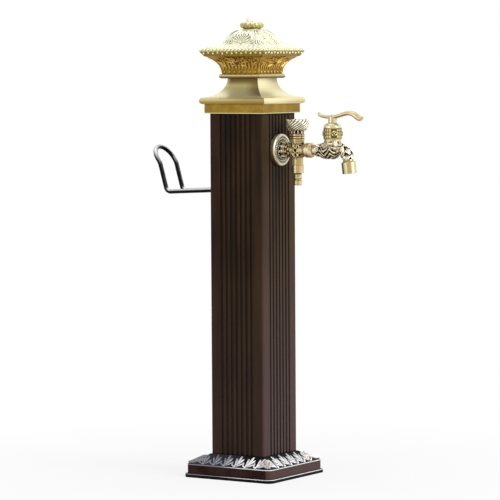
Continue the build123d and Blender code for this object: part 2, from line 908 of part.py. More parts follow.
def turning_disc():
    slot_foot = disc_top - tang_depth - tang_play
    slot = block(tang_length + 2 * tang_play, tang_width + 2 * tang_play, slot_foot, disc_top + overrun)
    return ported_disc(pocket_foot + disc_thick) - slot


def stem(top):
    """Spindle with its fork in the turning disc, its collar under the guide and a seal groove above."""
    groove = guide_radius - 2 * stem_seal_radius - disc_play
    body = turned(
        outline(
            (0, disc_top),
            (fork_radius, disc_top),
            (fork_radius, collar_foot),
            (stem_collar, collar_foot),
            (stem_collar, collar_foot + stem_collar_height),
            (stem_radius, collar_foot + stem_collar_height),
            (stem_radius, stem_seal_height - stem_seal_radius),
            (groove, stem_seal_height - stem_seal_radius),
            (groove, stem_seal_height + stem_seal_radius),
            (stem_radius, stem_seal_height + stem_seal_radius),
            (stem_radius, top),
            (0, top),
        )
    )
    body += block(tang_length, tang_width, disc_top - tang_depth, disc_top)
    return body - rod(handle_screw_radius + thread_gap, top - handle_screw_length, top + overrun)


def stem_seal():
    major = guide_radius - stem_seal_radius - running_gap / 2
    return Pos(0, 0, stem_seal_height) * Torus(major, stem_seal_radius - running_gap / 2)


def handle_screw(level, length, head_depth):
    """Countersunk screw whose head ends flush at the level."""
    shank = rod(handle_screw_radius, level - length, level - head_depth)
    return shank + Pos(0, 0, level - head_depth) * cone(handle_screw_radius, handle_screw_head, head_depth)


def cone(low_radius, high_radius, height):
    return Cone(low_radius, high_radius, height, align=(Align.CENTER, Align.CENTER, Align.MIN))


def cartridge_at(out, seat, solid):
    return at_valve(out, Pos(0, 0, seat) * solid)


# Hose valve


def side_bonnet():
    foot = hose_column_top - bonnet_overlap
    flange_top = hose_column_top + cartridge_flange_thick
    levels = [foot + share * side_bonnet_height for share in side_band_shares]
    face = outline(
        (side_neck_radius + thread_gap, foot),
        (side_bonnet_radius, foot),
        (side_bonnet_radius, levels[0]),
        (column_radius, levels[1]),
        ((side_bonnet_radius, levels[2]), (column_radius, levels[3])),
        (side_bonnet_radius, levels[4]),
        (side_bonnet_radius, side_bonnet_top),
        (stem_radius + screw_clearance, side_bonnet_top),
        (stem_radius + screw_clearance, flange_top),
        (side_neck_radius + thread_gap, flange_top),
    )
    return at_valve(hose_valve_out, turned(face))


def side_handle():
    foot = side_bonnet_top + rest_gap
    cage_top = foot + cage_height
    top = cage_top + crown_height
    dish = top - crown_dish
    inner = cage_radius - cage_wall
    slot_top = cage_top - cage_wall / 2
    face = outline(
        (0, foot),
        (cage_radius, foot),
        (cage_radius, cage_top),
        ((crown_flare - cage_wall, cage_top + crown_height / 4), (crown_flare, cage_top + crown_height / 2)),
        ((crown_lip, top - crown_dish), (crown_flare - cage_wall, top)),
        ((crown_hub + cage_wall, dish - crown_dish / 2), (crown_hub, dish)),
        (0, dish),
    )
    handle = turned(face) - ring(inner, crown_hub, foot - overrun, cage_top)
    for number in range(cage_slots):
        slot = Pos(inner, 0, 0) * block(3 * cage_wall, slot_width, slot_top - slot_height, slot_top)
        handle -= Rot(0, 0, 360 * number / cage_slots) * slot
    for number in range(petal_count):
        notch = Pos(crown_lip + petal_notch / 2, 0, 0) * bore(petal_notch, cage_top, top)
        handle -= Rot(0, 0, 360 * (number + 1 / 2) / petal_count) * notch
    handle -= rod(stem_radius + thread_gap, foot - overrun, side_stem_top)
    handle -= bore(handle_screw_radius + thread_gap, foot, dish)
    handle -= Pos(0, 0, dish - handle_screw_radius) * cone(
        handle_screw_radius + thread_gap, handle_screw_head + thread_gap, handle_screw_radius
    )
    return at_valve(hose_valve_out, handle)


def side_handle_screw():
    level = side_bonnet_top + rest_gap + cage_height + crown_height - crown_dish
    return at_valve(hose_valve_out, handle_screw(level, handle_screw_length, handle_screw_radius))


# Hose outlet


def hose_washer():
    foot = outlet_end - hose_washer_thick
    return at_valve(hose_valve_out, ring(outlet_thread, nipple_bore, foot, outlet_end))


def hose_nut():
    top = arm_height - outlet_shoulder
    foot = top - hose_nut_height
    body = hex_prism(hose_nut_across, foot, top) & rod(hose_nut_round, foot, top)
    body -= rod(nipple_neck + screw_clearance, foot - overrun, top)
    body -= rod(outlet_thread + thread_gap, foot + nut_lip, top + overrun)
    return at_valve(hose_valve_out, body)


def hose_nipple():
    top = outlet_end - hose_washer_thick
    flange_foot = top - nipple_flange_thick
    neck_foot = flange_foot - nipple_neck_length
    bulge_foot = neck_foot - nipple_bulge_length
    groove_foot = bulge_foot - nipple_groove_length
    foot = hose_nut_foot - nipple_length
    face = outline(
        (nipple_bore, top),
        (outlet_thread, top),
        (outlet_thread, flange_foot),
        (nipple_neck, flange_foot),
        (nipple_neck, neck_foot),
        ((nipple_bulge, (neck_foot + bulge_foot) / 2), (nipple_neck, bulge_foot)),
        (nipple_groove, bulge_foot),
        (nipple_groove, groove_foot),
        (nipple_bulge, groove_foot),
        (nipple_bulge, foot + nipple_chamfer),
        (nipple_bulge - nipple_chamfer, foot),
        (nipple_bore, foot),
    )
    return at_valve(hose_valve_out, turned(face))


# Spout valve


def tap_body():
    waist_end = tap_back_out + tap_mouth_width
    profile = outline(
        (0, tap_back_out),
        (tap_mouth, tap_back_out),
        (tap_mouth, waist_end),
        (tap_waist, tap_waist_out),
        ((belly_radius, belly_out), (belly_end, belly_end_out)),
        (0, belly_end_out),
    )
    body = on_arm(turned(profile))
    ring_foot = tap_bonnet_foot - tap_ring_height
    foot_share = sqrt(1 / 2)
    column = turned(
        outline(
            (0, arm_height - tap_column),
            ((tap_column * foot_share, arm_height - tap_column * foot_share), (tap_column, arm_height)),
            (tap_column, tap_bonnet_foot),
            (0, tap_bonnet_foot),
        )
    )
    column += rod(tap_column_ring, ring_foot, tap_bonnet_foot)
    column += rod(tap_neck, tap_bonnet_foot, tap_column_end)
    body += at_valve(tap_valve_out, column)
    bend = arm_plane * CenterArc(
        (spout_start_out, spout_start_height - spout_bend), spout_bend, 90, nozzle_tilt_angle - 90
    )
    body += sweep(Plane(origin=bend @ 0, z_dir=bend % 0) * Circle(spout_radius), bend)
    body += nozzle_plane.location * rod(nozzle_thread, 0, nozzle_thread_length)
    body -= at_valve(tap_valve_out, rod(cartridge_radius + chamber_gap, tap_seat, tap_column_end + overrun))
    body -= at_valve(tap_valve_out, rod(outlet_bore, arm_height, tap_seat + overrun))
    body -= on_arm(rod(water_radius, tap_back_out - overrun, tap_valve_out))
    body -= on_arm(rod(link_radius + thread_gap, tap_back_out - overrun, tap_back_out + link_engagement))
    return body - spout_passage()


def spout_passage():
    """Waterway from the valve chamber down to the nozzle."""
    start = (tap_valve_out + stem_radius / 2, tap_seat + disc_thick)
    end_reach = nozzle_thread_length + overrun
    end = (nozzle_out + end_reach * nozzle_down[0], nozzle_height + end_reach * nozzle_down[1])
    knee_height = nozzle_height + spout_bend / 2
    knee = (nozzle_out - (knee_height - nozzle_height) * tan(radians(nozzle_tilt_angle)), knee_height)
    path = arm_plane * FilletPolyline(start, knee, end, radius=spout_bore_bend)
    return sweep(Plane(origin=path @ 0, z_dir=path % 0) * Circle(spout_bore), path)


def tap_bonnet():
    roof = tap_bonnet_top - tap_bonnet_roof
    flange_top = tap_column_end + cartridge_flange_thick
    band = (tap_bonnet_height - tap_bonnet_round) / 6
    low = tap_bonnet_radius - tap_bonnet_band
    levels = [tap_bonnet_foot + band * number for number in range(7)]
    face = outline(
        (tap_neck + thread_gap, levels[0]),
        (low, levels[0]),
        (tap_bonnet_radius, levels[1]),
        (tap_bonnet_radius, levels[2]),
        (low, levels[2]),
        (low, levels[5]),
        (tap_bonnet_radius, levels[5]),
        (tap_bonnet_radius, levels[6]),
        (
            (tap_bonnet_radius - tap_bonnet_round / 3, tap_bonnet_top - tap_bonnet_round / 3),
            (tap_bonnet_hub, tap_bonnet_top),
        ),
        (stem_radius + screw_clearance, tap_bonnet_top),
        (stem_radius + screw_clearance, flange_top),
        (tap_neck + thread_gap, flange_top),
    )
    return at_valve(tap_valve_out, turned(face))


def lever_section(along, up, half_width, half_thick, slope):
    ahead = (0, -cos(radians(slope)), sin(radians(slope)))
    plane = Plane(origin=(0, -along, lever_axis + up), x_dir=(1, 0, 0), z_dir=ahead)
    return plane * Ellipse(half_width, half_thick)


def tap_lever():
    """S-shaped lever lofted along the arm through its stations, on a round hub."""
    stations = [(-share[0] * lever_short,) + share[1:] for share in short_arm_shares]
    stations += [hub_shares]
    stations += [(share[0] * lever_long,) + share[1:] for share in long_arm_shares]
    sections = []
    for number, (along, rise_share, width_share, thick_share) in enumerate(stations):
        before = stations[max(number - 1, 0)]
        after = stations[min(number + 1, len(stations) - 1)]
        slope = degrees(atan2((after[1] - before[1]) * lever_rise, after[0] - before[0]))
        rise = rise_share * lever_rise
        half_width = width_share * lever_width
        sections.append(lever_section(along, rise, half_width, thick_share * lever_thick, slope))
    arms = loft(sections)
    hub_top = lever_axis + hub_shares[3] * lever_thick
    lever = arms + rod(lever_hub, lever_foot, lever_axis)
    lever -= rod(stem_radius + thread_gap, lever_foot - overrun, tap_stem_top)
    lever -= rod(handle_screw_radius + thread_gap, lever_foot, hub_top + overrun)
    lever -= Pos(0, 0, hub_top - handle_screw_radius) * cone(
        handle_screw_radius + thread_gap, handle_screw_head + thread_gap, handle_screw_radius
    )
    return at_valve(tap_valve_out, lever)


def lever_screw():
    hub_top = lever_axis + hub_shares[3] * lever_thick
    return at_valve(tap_valve_out, handle_screw(hub_top, lever_screw_length, handle_screw_radius))


# Nozzle, drawn about Z from the end of the spout outwards


def spout_nozzle():
    chamber = strainer_radius + thread_gap
    ledge_top = nozzle_thread_length + nozzle_washer_thick
    face = outline(
        (nozzle_thread + thread_gap, 0),
        (nozzle_radius - nozzle_chamfer, 0),
        (nozzle_radius, nozzle_chamfer),
        (nozzle_radius, nozzle_length),
        (chamber, nozzle_length),
        (chamber, ledge_top + nozzle_ledge_thick),
        (nozzle_ledge, ledge_top + nozzle_ledge_thick),
        (nozzle_ledge, ledge_top),
        (nozzle_thread + thread_gap, ledge_top),
    )
    return nozzle_plane.location * turned(face)


def nozzle_washer():
    end = nozzle_thread_length + nozzle_washer_thick
    return nozzle_plane.location * ring(nozzle_thread, water_radius, nozzle_thread_length, end)


def flow_strainer():
    end = nozzle_length - strainer_recess
    disc = rod(strainer_radius, end - strainer_thick, end)
    hole = bore(strainer_hole, end - strainer_thick, end)
    disc -= hole
    for circle in range(1, strainer_rings + 1):
        for number in range(6 * circle):
            place = Pos(circle * strainer_radius / (strainer_rings + 1), 0, 0)
            disc -= Rot(0, 0, 60 * number / circle) * place * hole
    return nozzle_plane.location * disc


# Hose hook


def hook_points():
    """Corners of one leg in the (y, z) plane, from the post to the foot of the round top."""
    droop = radians(hook_droop_angle)
    lean = radians(hook_lean_angle)
    lip = radians(hook_lip_angle)
    start = (post_half, hook_height)
    set_point = (post_half + hook_straight, hook_height)
    knee = (post_half + hook_reach, hook_height - (hook_reach - hook_straight) * tan(droop))
    kink = (knee[0] + hook_rise * sin(lean), knee[1] + hook_rise * cos(lean))
    end = (kink[0] + hook_lip * sin(lip), kink[1] + hook_lip * cos(lip))
    return [start, set_point, knee, kink, end]


def hose_hook():
    points = [(-hook_half, y, z) for y, z in hook_points()]
    leg = FilletPolyline(*points, radius=[hook_set_bend, hook_bend, hook_kink])
    foot = Vector(*points[-1])
    lip = radians(hook_lip_angle)
    crest = Vector(0, foot.Y + hook_half * sin(lip), foot.Z + hook_half * cos(lip))
    top = ThreePointArc(foot, crest, Vector(hook_half, foot.Y, foot.Z))
    path = Wire(leg.edges() + top.edges() + mirror(leg, Plane.YZ).edges())
    wire = sweep(Plane(origin=points[0], z_dir=(0, 1, 0)) * Circle(hook_wire), path)
    for x in (-hook_half, hook_half):
        stud = rod(hook_stud, post_half - hook_stud_length, post_half + hook_stud)
        wire += Pos(x, 0, hook_height) * Rot(-90, 0, 0) * stud
    return wire


def behind_hook(solid):
    return [Pos(x, post_inner, hook_height) * Rot(90, 0, 0) * solid for x in (-hook_half, hook_half)]


def hook_washers():
    return behind_hook(ring(hook_washer_radius, hook_stud + screw_clearance, 0, hook_washer_thick))


def hook_nuts():
    nut_end = hook_washer_thick + hook_nut_height
    return behind_hook(hex_nut(hook_nut_across, hook_stud + thread_gap, hook_washer_thick, nut_end))


def hose_cartridge(solid):
    return cartridge_at(hose_valve_out, hose_seat, solid)


def tap_cartridge_piece(solid):
    return cartridge_at(tap_valve_out, tap_seat, solid)


nodes = {
    "floor_plate": floor_plate(),
    "post": post(),
    "post_screws": post_screws(),
    "base_skirt": base_skirt(),
    "cap_bridge": cap_bridge(),
    "bridge_screws": bridge_screws(),
    "cap_collar": cap_collar(),
    "cap_crown": cap_crown(),
    "cap_lid": cap_lid(),
    "cap_button": cap_button(),
    "finial_knob": finial_knob(),
    "tie_rod": tie_rod(),
    "tie_nut": tie_nut(),
    "inlet_bracket": inlet_bracket(),
    "bracket_screws": bracket_screws(),
    "inlet_coupling": inlet_coupling(),
    "inlet_lock_nut": inlet_lock_nut(),
    "riser_pipe": riser_pipe(),
    "top_elbow": top_elbow(),
    "tail_washer": tail_washer(),
    "tail_lock_nut": tail_lock_nut(),
    "wall_rosette": wall_rosette(),
    "valve_body": valve_body(),
    "hose_valve_seal": hose_cartridge(cartridge_seal()),
    "hose_valve_cartridge": hose_cartridge(cartridge_shell()),
    "hose_valve_fixed_disc": hose_cartridge(ported_disc(pocket_foot)),
    "hose_valve_turning_disc": hose_cartridge(turning_disc()),
    "hose_valve_spindle": hose_cartridge(stem(side_stem_top - hose_seat)),
    "hose_valve_stem_seal": hose_cartridge(stem_seal()),
    "hose_valve_bonnet": side_bonnet(),
    "hose_valve_handle": side_handle(),
    "hose_valve_screw": side_handle_screw(),
    "hose_washer": hose_washer(),
    "hose_nut": hose_nut(),
    "hose_nipple": hose_nipple(),
    "union_washer": union_washer(),
    "union_nut": union_nut(),
    "link_pipe": link_pipe(),
    "tap_body": tap_body(),
    "tap_seal": tap_cartridge_piece(cartridge_seal()),
    "tap_cartridge": tap_cartridge_piece(cartridge_shell()),
    "tap_fixed_disc": tap_cartridge_piece(ported_disc(pocket_foot)),
    "tap_turning_disc": tap_cartridge_piece(turning_disc()),
    "tap_spindle": tap_cartridge_piece(stem(tap_stem_top - tap_seat)),
    "tap_stem_seal": tap_cartridge_piece(stem_seal()),
    "tap_bonnet": tap_bonnet(),
    "tap_lever": tap_lever(),
    "tap_lever_screw": lever_screw(),
    "spout_nozzle": spout_nozzle(),
    "nozzle_washer": nozzle_washer(),
    "flow_strainer": flow_strainer(),
    "hose_hook": hose_hook(),
    "hook_washers": hook_washers(),
    "hook_nuts": hook_nuts(),
}

for name, solids in nodes.items():
    pieces = solids if isinstance(solids, list) else list(solids.solids())
    shape = pieces[0] if len(pieces) == 1 else Compound(children=pieces)
    export_step(shape, "parts/" + name + ".step")
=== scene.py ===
import json
from math import cos, exp, log, pi, radians, sin
import bmesh
import bpy
from mathutils import Matrix, Vector
from mathutils.bvhtree import BVHTree


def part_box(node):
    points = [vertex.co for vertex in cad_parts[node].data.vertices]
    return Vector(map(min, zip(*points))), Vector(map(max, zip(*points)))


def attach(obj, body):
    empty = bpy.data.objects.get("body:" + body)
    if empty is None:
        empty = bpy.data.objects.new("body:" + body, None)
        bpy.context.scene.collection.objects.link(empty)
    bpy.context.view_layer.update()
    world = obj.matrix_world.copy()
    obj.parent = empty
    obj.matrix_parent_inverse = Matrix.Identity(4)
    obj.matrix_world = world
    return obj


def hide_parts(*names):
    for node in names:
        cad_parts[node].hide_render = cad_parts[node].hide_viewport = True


# Garden standpipe: a fluted brown column with a gilt cap, a black and silver skirt, a bronze tap arm and a
# hook. Ornament is drawn flat in millimetres, stamped on the castings and turned into metres at the end.
# +Z is up, the tap arm leaves the -Y face of the post and the hook leaves its +Y face.

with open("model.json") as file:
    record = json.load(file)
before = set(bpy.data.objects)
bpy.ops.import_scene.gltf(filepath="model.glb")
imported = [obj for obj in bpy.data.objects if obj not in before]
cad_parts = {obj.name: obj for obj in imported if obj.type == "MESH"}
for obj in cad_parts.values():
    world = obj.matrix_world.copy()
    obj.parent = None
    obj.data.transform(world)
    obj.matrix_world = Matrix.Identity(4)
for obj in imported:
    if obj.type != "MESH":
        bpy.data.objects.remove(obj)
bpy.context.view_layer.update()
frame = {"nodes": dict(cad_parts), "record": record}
nodes = frame["nodes"]

mm = 0.001

# Places that the ornament follows, in millimetres
post_face = 54.0
post_top = 650.0
collar_foot = 634.0
rim_top = 661.6
arm_level = 570.5
rosette_middle = (0.0, -post_face, arm_level)
hose_valve = 38.5
tap_valve = 109.2
bowl_half = 38.0
bowl_foot = 704.0
bowl_edge = 733.05
brim_top = 744.0
band_half = 87.15
band_top = 22.3
foot_half = 90.85
foot_top = 5.5

# How far outside a surface the rays start that look for it
ray_start = 60
arm_ray_start = 40

up = Vector((0, 0, 1))
sides = (-1, 1)


def turns(count, start=0.0, axis="Z"):
    """Even steps of a full turn about an axis."""
    return [Matrix.Rotation(start + 2 * pi * number / count, 4, axis) for number in range(count)]


quarters = turns(4)


def placed(name, data):
    """New object of the scene."""
    piece = bpy.data.objects.new(name, data)
    bpy.context.scene.collection.objects.link(piece)
    return piece


# Finishes


def paint(red, green, blue):
    """Linear colour of a paint chip given in the usual 0 to 255 values."""
    chip = [value / 255 for value in (red, green, blue)]
    return [v / 12.92 if v <= 0.04045 else ((v + 0.055) / 1.055) ** 2.4 for v in chip] + [1.0]


class Tone:
    """A value that varies over a finish. Arithmetic on it adds Math nodes."""

    def __init__(self, graph, socket):
        self.graph = graph
        self.socket = socket

    def math(self, operation, first, second=None):
        return self.graph.node("ShaderNodeMath", {"operation": operation}, first, second)

    def __add__(self, other):
        return self.math("ADD", self, other)

    def __sub__(self, other):
        return self.math("SUBTRACT", self, other)

    def __rsub__(self, other):
        return self.math("SUBTRACT", other, self)

    def __mul__(self, other):
        return self.math("MULTIPLY", self, other)

    __radd__ = __add__
    __rmul__ = __mul__

    def ramp(self, low, high, start=0.0, end=1.0):
        """Goes smoothly from start to end as this value goes from low to high."""
        settings = {"interpolation_type": "SMOOTHSTEP", "clamp": True}
        return self.graph.node("ShaderNodeMapRange", settings, self, low, high, start, end)


class Graph:
    """Node tree of a material or of the world."""

    def __init__(self, owner, output):
        owner.use_nodes = True
        self.tree = owner.node_tree
        self.tree.nodes.clear()
        self.output = self.tree.nodes.new(output)

    def feed(self, socket, value):
        if isinstance(value, Tone):
            self.tree.links.new(value.socket, socket)
        else:
            socket.default_value = value

    def node(self, kind, settings, *values, result=0):
        made = self.tree.nodes.new(kind)
        for setting, value in settings.items():
            setattr(made, setting, value)
        for socket, value in zip(made.inputs, values):
            if value is not None:
                self.feed(socket, value)
        return Tone(self, made.outputs[result])

    def vector(self, operation, first, second=None, result=0):
        return self.node("ShaderNodeVectorMath", {"operation": operation}, first, second, result=result)

    def spot(self):
        """Place on the object in metres."""
        return self.node("ShaderNodeTexCoord", {}, result=3)

    def seen_by(self, *rays):
        """1 for the named kinds of ray and 0 for all others."""
        kinds = [self.node("ShaderNodeLightPath", {}, result=ray) for ray in rays]
        seen = kinds[0]
        for kind in kinds[1:]:
            seen = seen.math("MAXIMUM", seen, kind)
        return seen


class Finish(Graph):
    """A material with a Principled surface."""

    def __init__(self, name):
        self.material = bpy.data.materials.new(name)
        super().__init__(self.material, "ShaderNodeOutputMaterial")
        self.surface = self.tree.nodes.new("ShaderNodeBsdfPrincipled")
        self.tree.links.new(self.surface.outputs[0], self.output.inputs[0])

    def place(self, stretch):
        """Place on the object, with each axis multiplied by its stretch."""
        return self.vector("MULTIPLY", self.spot(), stretch)

    def part(self, vector, axis):
        return self.node("ShaderNodeSeparateXYZ", {}, vector, result=axis)

    def height(self):
        """Millimetres above the ground."""
        return self.part(self.spot(), 2) * (1 / mm)

    def behind(self):
        """Millimetres from the middle of the column towards the hook."""
        return self.part(self.spot(), 1) * (1 / mm)

    def normal(self):
        return self.node("ShaderNodeNewGeometry", {}, result=1)

    def facing(self, way):
        """1 on a face that looks the given way and -1 on a face that looks away from it."""
        return self.vector("DOT_PRODUCT", self.normal(), way, result=1)

    def facing_up(self):
        """From -1 on a face that looks down to 1 on a face that looks up."""
        return self.part(self.normal(), 2)

    def facing_tap(self):
        """1 on the side of the column that carries the tap, and 0 on the sides beside it."""
        return self.part(self.normal(), 1).ramp(-0.05, -0.2)

    def across(self):
        """Millimetres along a flat side of the column, from its middle to the right."""
        right = self.vector("CROSS_PRODUCT", (0, 0, 1), self.normal())
        return self.vector("DOT_PRODUCT", self.place((1 / mm,) * 3), right, result=1)

    def worn_and_lit(self):
        """From 0 in the valleys of a carved piece to 1 on its crests, which sets rubbed silver, painted
        highlights on the crests and painted shade in the valleys.
        """
        return self.node("ShaderNodeAttribute", {"attribute_name": "worn_and_lit"}, result=2)

    def sheen(self, period):
        """Painted reflection of the room: soft stripes that follow the way a face looks, as the room does
        in rubbed metal.
        """
        phase = self.facing((0.8, 0.5, -0.6)) * period + 0.6
        return 0.5 + 0.5 * phase.math("SINE", phase)

    def noise(self, scale, detail=3.0, stretch=(1, 1, 1)):
        return self.node("ShaderNodeTexNoise", {}, self.place(stretch), None, scale, detail, 0.6)

    def hollow(self, reach):
        """From 0 on open faces to 1 deep in a recess, within the reach in millimetres."""
        settings = {"samples": 12, "only_local": False}
        return 1 - self.node("ShaderNodeAmbientOcclusion", settings, None, reach * mm, result=1)

    def mix(self, share, first, second):
        """From the first to the second colour. Each is a tone or a paint chip."""
        made = self.tree.nodes.new("ShaderNodeMix")
        made.data_type = "RGBA"
        for number, value in ((0, share), (6, first), (7, second)):
            self.feed(made.inputs[number], paint(*value) if isinstance(value, tuple) else value)
        return Tone(self, made.outputs[2])

    def done(self, colour, rough, bump, depth, metallic=0.0, gloss=0.5):
        """The finished material. A bump value of 1 stands for the depth in millimetres."""
        relief = self.tree.nodes.new("ShaderNodeBump")
        relief.inputs["Strength"].default_value = 0.6
        relief.inputs["Distance"].default_value = depth * mm
        self.feed(relief.inputs["Height"], bump)
        look = {"Base Color": colour, "Roughness": rough, "Metallic": metallic}
        look.update({"Specular IOR Level": gloss, "Normal": Tone(self, relief.outputs[0])})
        for name, value in look.items():
            self.feed(self.surface.inputs[name], value)
        return self.material


def column_paint():
    """Dark brown satin paint with faint streaks down the post. Painted light makes it lighter on the tap
    side and greyer low down, and painted shade goes black at the bottom of the flutes.
    """
    finish = Finish("column_paint")
    streaks = finish.noise(38, 4, (1, 1, 0.12))
    clouds = finish.noise(7, 2)
    grain = finish.noise(1500, 2)
    low = finish.height().ramp(520, 60)
    shade = (streaks * 0.6 + clouds * 0.4).ramp(0.35, 0.68)
    front = finish.facing_tap()
    colour = finish.mix(shade, (36, 24, 14), (66, 46, 28))
    # Painted light: lighter on the tap side, with a greyer painted sheen low down that is stronger on the
    # tap side.
    colour = finish.mix(front * 0.15, colour, (88, 70, 52))
    greyer = finish.mix(front, (76, 58, 48), (90, 72, 72))
    colour = finish.mix(low * (0.38 + 0.22 * front), colour, greyer)
    # Painted shade: black deep in the flutes and in other recesses.
    colour = finish.mix(finish.hollow(5.0).ramp(0.12, 0.42), colour, (16, 10, 9))
    return finish.done(colour, 0.36 + 0.16 * streaks, grain * 0.6 + streaks * 0.4, 0.05, gloss=0.08)


def skirt_paint():
    """Black foot flange, dark brown band and blue-black slope of the base skirt, with painted light: the
    band lighter on the tap side and a paler blue-grey painted sheen on the slope towards the hook.
    """
    finish = Finish("skirt_paint")
    height = finish.height()
    foot = height.ramp(foot_top - 0.1, foot_top + 0.1)
    slope = height.ramp(band_top - 0.6, band_top + 0.2)
    cloud = finish.noise(26, 4)
    grain = finish.noise(1100, 3)
    band = finish.mix(cloud.ramp(0.35, 0.65), (40, 20, 17), (64, 42, 38))
    black = finish.mix(cloud.ramp(0.3, 0.7), (6, 6, 8), (26, 27, 32))
    # Painted light: the band is lighter on the tap side.
    band = finish.mix(finish.facing_tap() * 0.45, band, (112, 92, 90))
    # Painted sheen: the black slope turns a paler blue-grey towards the hook.
    sheened_black = finish.mix(finish.behind().ramp(-30, 10) * 0.75, black, (58, 62, 72))
    colour = finish.mix(slope, finish.mix(foot, black, band), sheened_black)
    return finish.done(colour, 0.35 + 0.25 * cloud, grain, 0.06, gloss=0.05)


def collar_gilding():
    """Ochre skirt with a pale lower edge, and a rim and an olive neck with painted light: paler where they
    face up and as the neck flares, painted highlights on the tap side, painted shade on the other sides
    and a painted shadow under the ring.
    """
    finish = Finish("collar_gilding")
    height = finish.height()
    upward = finish.facing_up()
    across = finish.across()
    cloud = finish.noise(24, 3)
    speck = finish.noise(420, 4)
    front = finish.facing_tap()
    beside = 1 - front
    lip = height.ramp(collar_foot + 1.6, collar_foot + 1.1)
    rim = height.ramp(post_top - 0.1, post_top + 0.1)
    neck = height.ramp(rim_top - 0.2, rim_top + 0.2)
    skirt = finish.mix(cloud.ramp(0.35, 0.65), (138, 106, 26), (164, 130, 42))
    skirt = finish.mix(lip, skirt, (214, 204, 150))
    # Painted light on the rim: paler where it faces up, painted shade on the sides beside the tap and a
    # painted highlight on the tap side.
    edge = finish.mix(upward.ramp(-0.5, 0.7), (166, 142, 74), (226, 214, 158))
    edge = finish.mix(beside * across.ramp(-50, 40, 0.15, 0.7), edge, (150, 124, 58))
    edge = finish.mix(front * across.ramp(50, -44, 0.4, 0.85), edge, (252, 242, 196))
    # Painted light on the neck: paler as it flares and faces up, a painted shadow under the ring and
    # painted shade towards the right on the sides beside the tap, and painted highlights on the tap side
    # and at the left of the sides beside it.
    curve = finish.mix(upward.ramp(0.08, 0.42), (112, 92, 42), (190, 180, 118))
    curve = finish.mix(upward.ramp(0.45, 0.9), curve, (252, 246, 202))
    curve = finish.mix(beside * height.ramp(680, 696, 0.0, 0.85), curve, (106, 86, 38))
    curve = finish.mix(beside * across.ramp(4, 28, 0.0, 0.75), curve, (108, 82, 32))
    bright = front * across.ramp(34, -22, 0.3, 0.95) + beside * across.ramp(-22, -40, 0.0, 0.9)
    curve = finish.mix(bright, curve, (252, 244, 200))
    colour = finish.mix(neck, finish.mix(rim, skirt, edge), curve)
    return finish.done(colour, 0.32 + 0.14 * speck, speck, 0.03, 0.7)


def bowl_gilding():
    """Old gold of the bowl, with a dark olive band behind the pearls of the brim, a pale edge, a ring at
    the foot that is paler where it faces up as painted light, and painted shade in the recesses.
    """
    finish = Finish("bowl_gilding")
    height = finish.height()
    cloud = finish.noise(45, 4)
    speck = finish.noise(420, 4)
    band = height.ramp(bowl_edge - 1.2, bowl_edge + 0.3)
    edge = height.ramp(brim_top - 3.2, brim_top - 2.4)
    ring = height.ramp(bowl_foot - 1.4, bowl_foot - 1.9)
    bowl = finish.mix(cloud.ramp(0.35, 0.65), (138, 102, 18), (172, 132, 36))
    colour = finish.mix(band, bowl, (138, 108, 34))
    colour = finish.mix(edge, colour, (226, 222, 172))
    # Painted light: the ring at the foot is paler where it faces up.
    ring_lit_from_above = finish.mix(finish.facing_up().ramp(-0.6, 0.5), (104, 80, 34), (214, 200, 140))
    colour = finish.mix(ring, colour, ring_lit_from_above)
    # Painted shade in the recesses and round the stamped ornament.
    colour = finish.mix(finish.hollow(3.5).ramp(0.14, 0.5), colour, (78, 48, 8))
    return finish.done(colour, 0.32 + 0.14 * speck, speck, 0.05, 0.7)


def gilt_relief(name, deep, middle, pale):
    """Old gold on carved work: painted shade in the valleys and recesses, pale painted highlights on the
    crests and where it faces up.
    """
    finish = Finish(name)
    recess = finish.hollow(3.0).ramp(0.2, 0.62)
    worn_and_lit = finish.worn_and_lit()
    cloud = finish.noise(45, 4)
    speck = finish.noise(420, 4)
    # Painted highlight on the crests and where it faces up.
    light = (finish.facing_up() * 0.35 + worn_and_lit * 0.75 + (cloud - 0.5) * 0.4).ramp(0.25, 0.95)
    body = finish.mix(light, middle, pale)
    # Painted shade in the valleys and recesses.
    colour = finish.mix(worn_and_lit.ramp(0.42, 0.12), finish.mix(recess, body, deep), deep)
    return finish.done(colour, 0.42 + 0.2 * recess + 0.12 * speck, speck, 0.05, 0.45)


def gilt(name, deep, middle, pale, reach, lift=0.0):
    """Gold paint on plain castings, with painted shade deep in the recesses and underneath and pale
    painted light where it faces up.
    """
    finish = Finish(name)
    recess = finish.hollow(reach).ramp(0.2, 0.7)
    cloud = finish.noise(45, 4)
    speck = finish.noise(420, 4)
    # Painted light: paler where it faces up.
    light = (finish.facing_up() * 0.5 + 0.5 + (cloud - 0.5) * 0.35 + lift).ramp(0.3, 0.98)
    # Painted shade in the recesses.
    colour = finish.mix(recess * 0.9, finish.mix(light, middle, pale), deep)
    return finish.done(colour, 0.3 + 0.25 * recess + 0.12 * speck, speck, 0.05, 0.6)


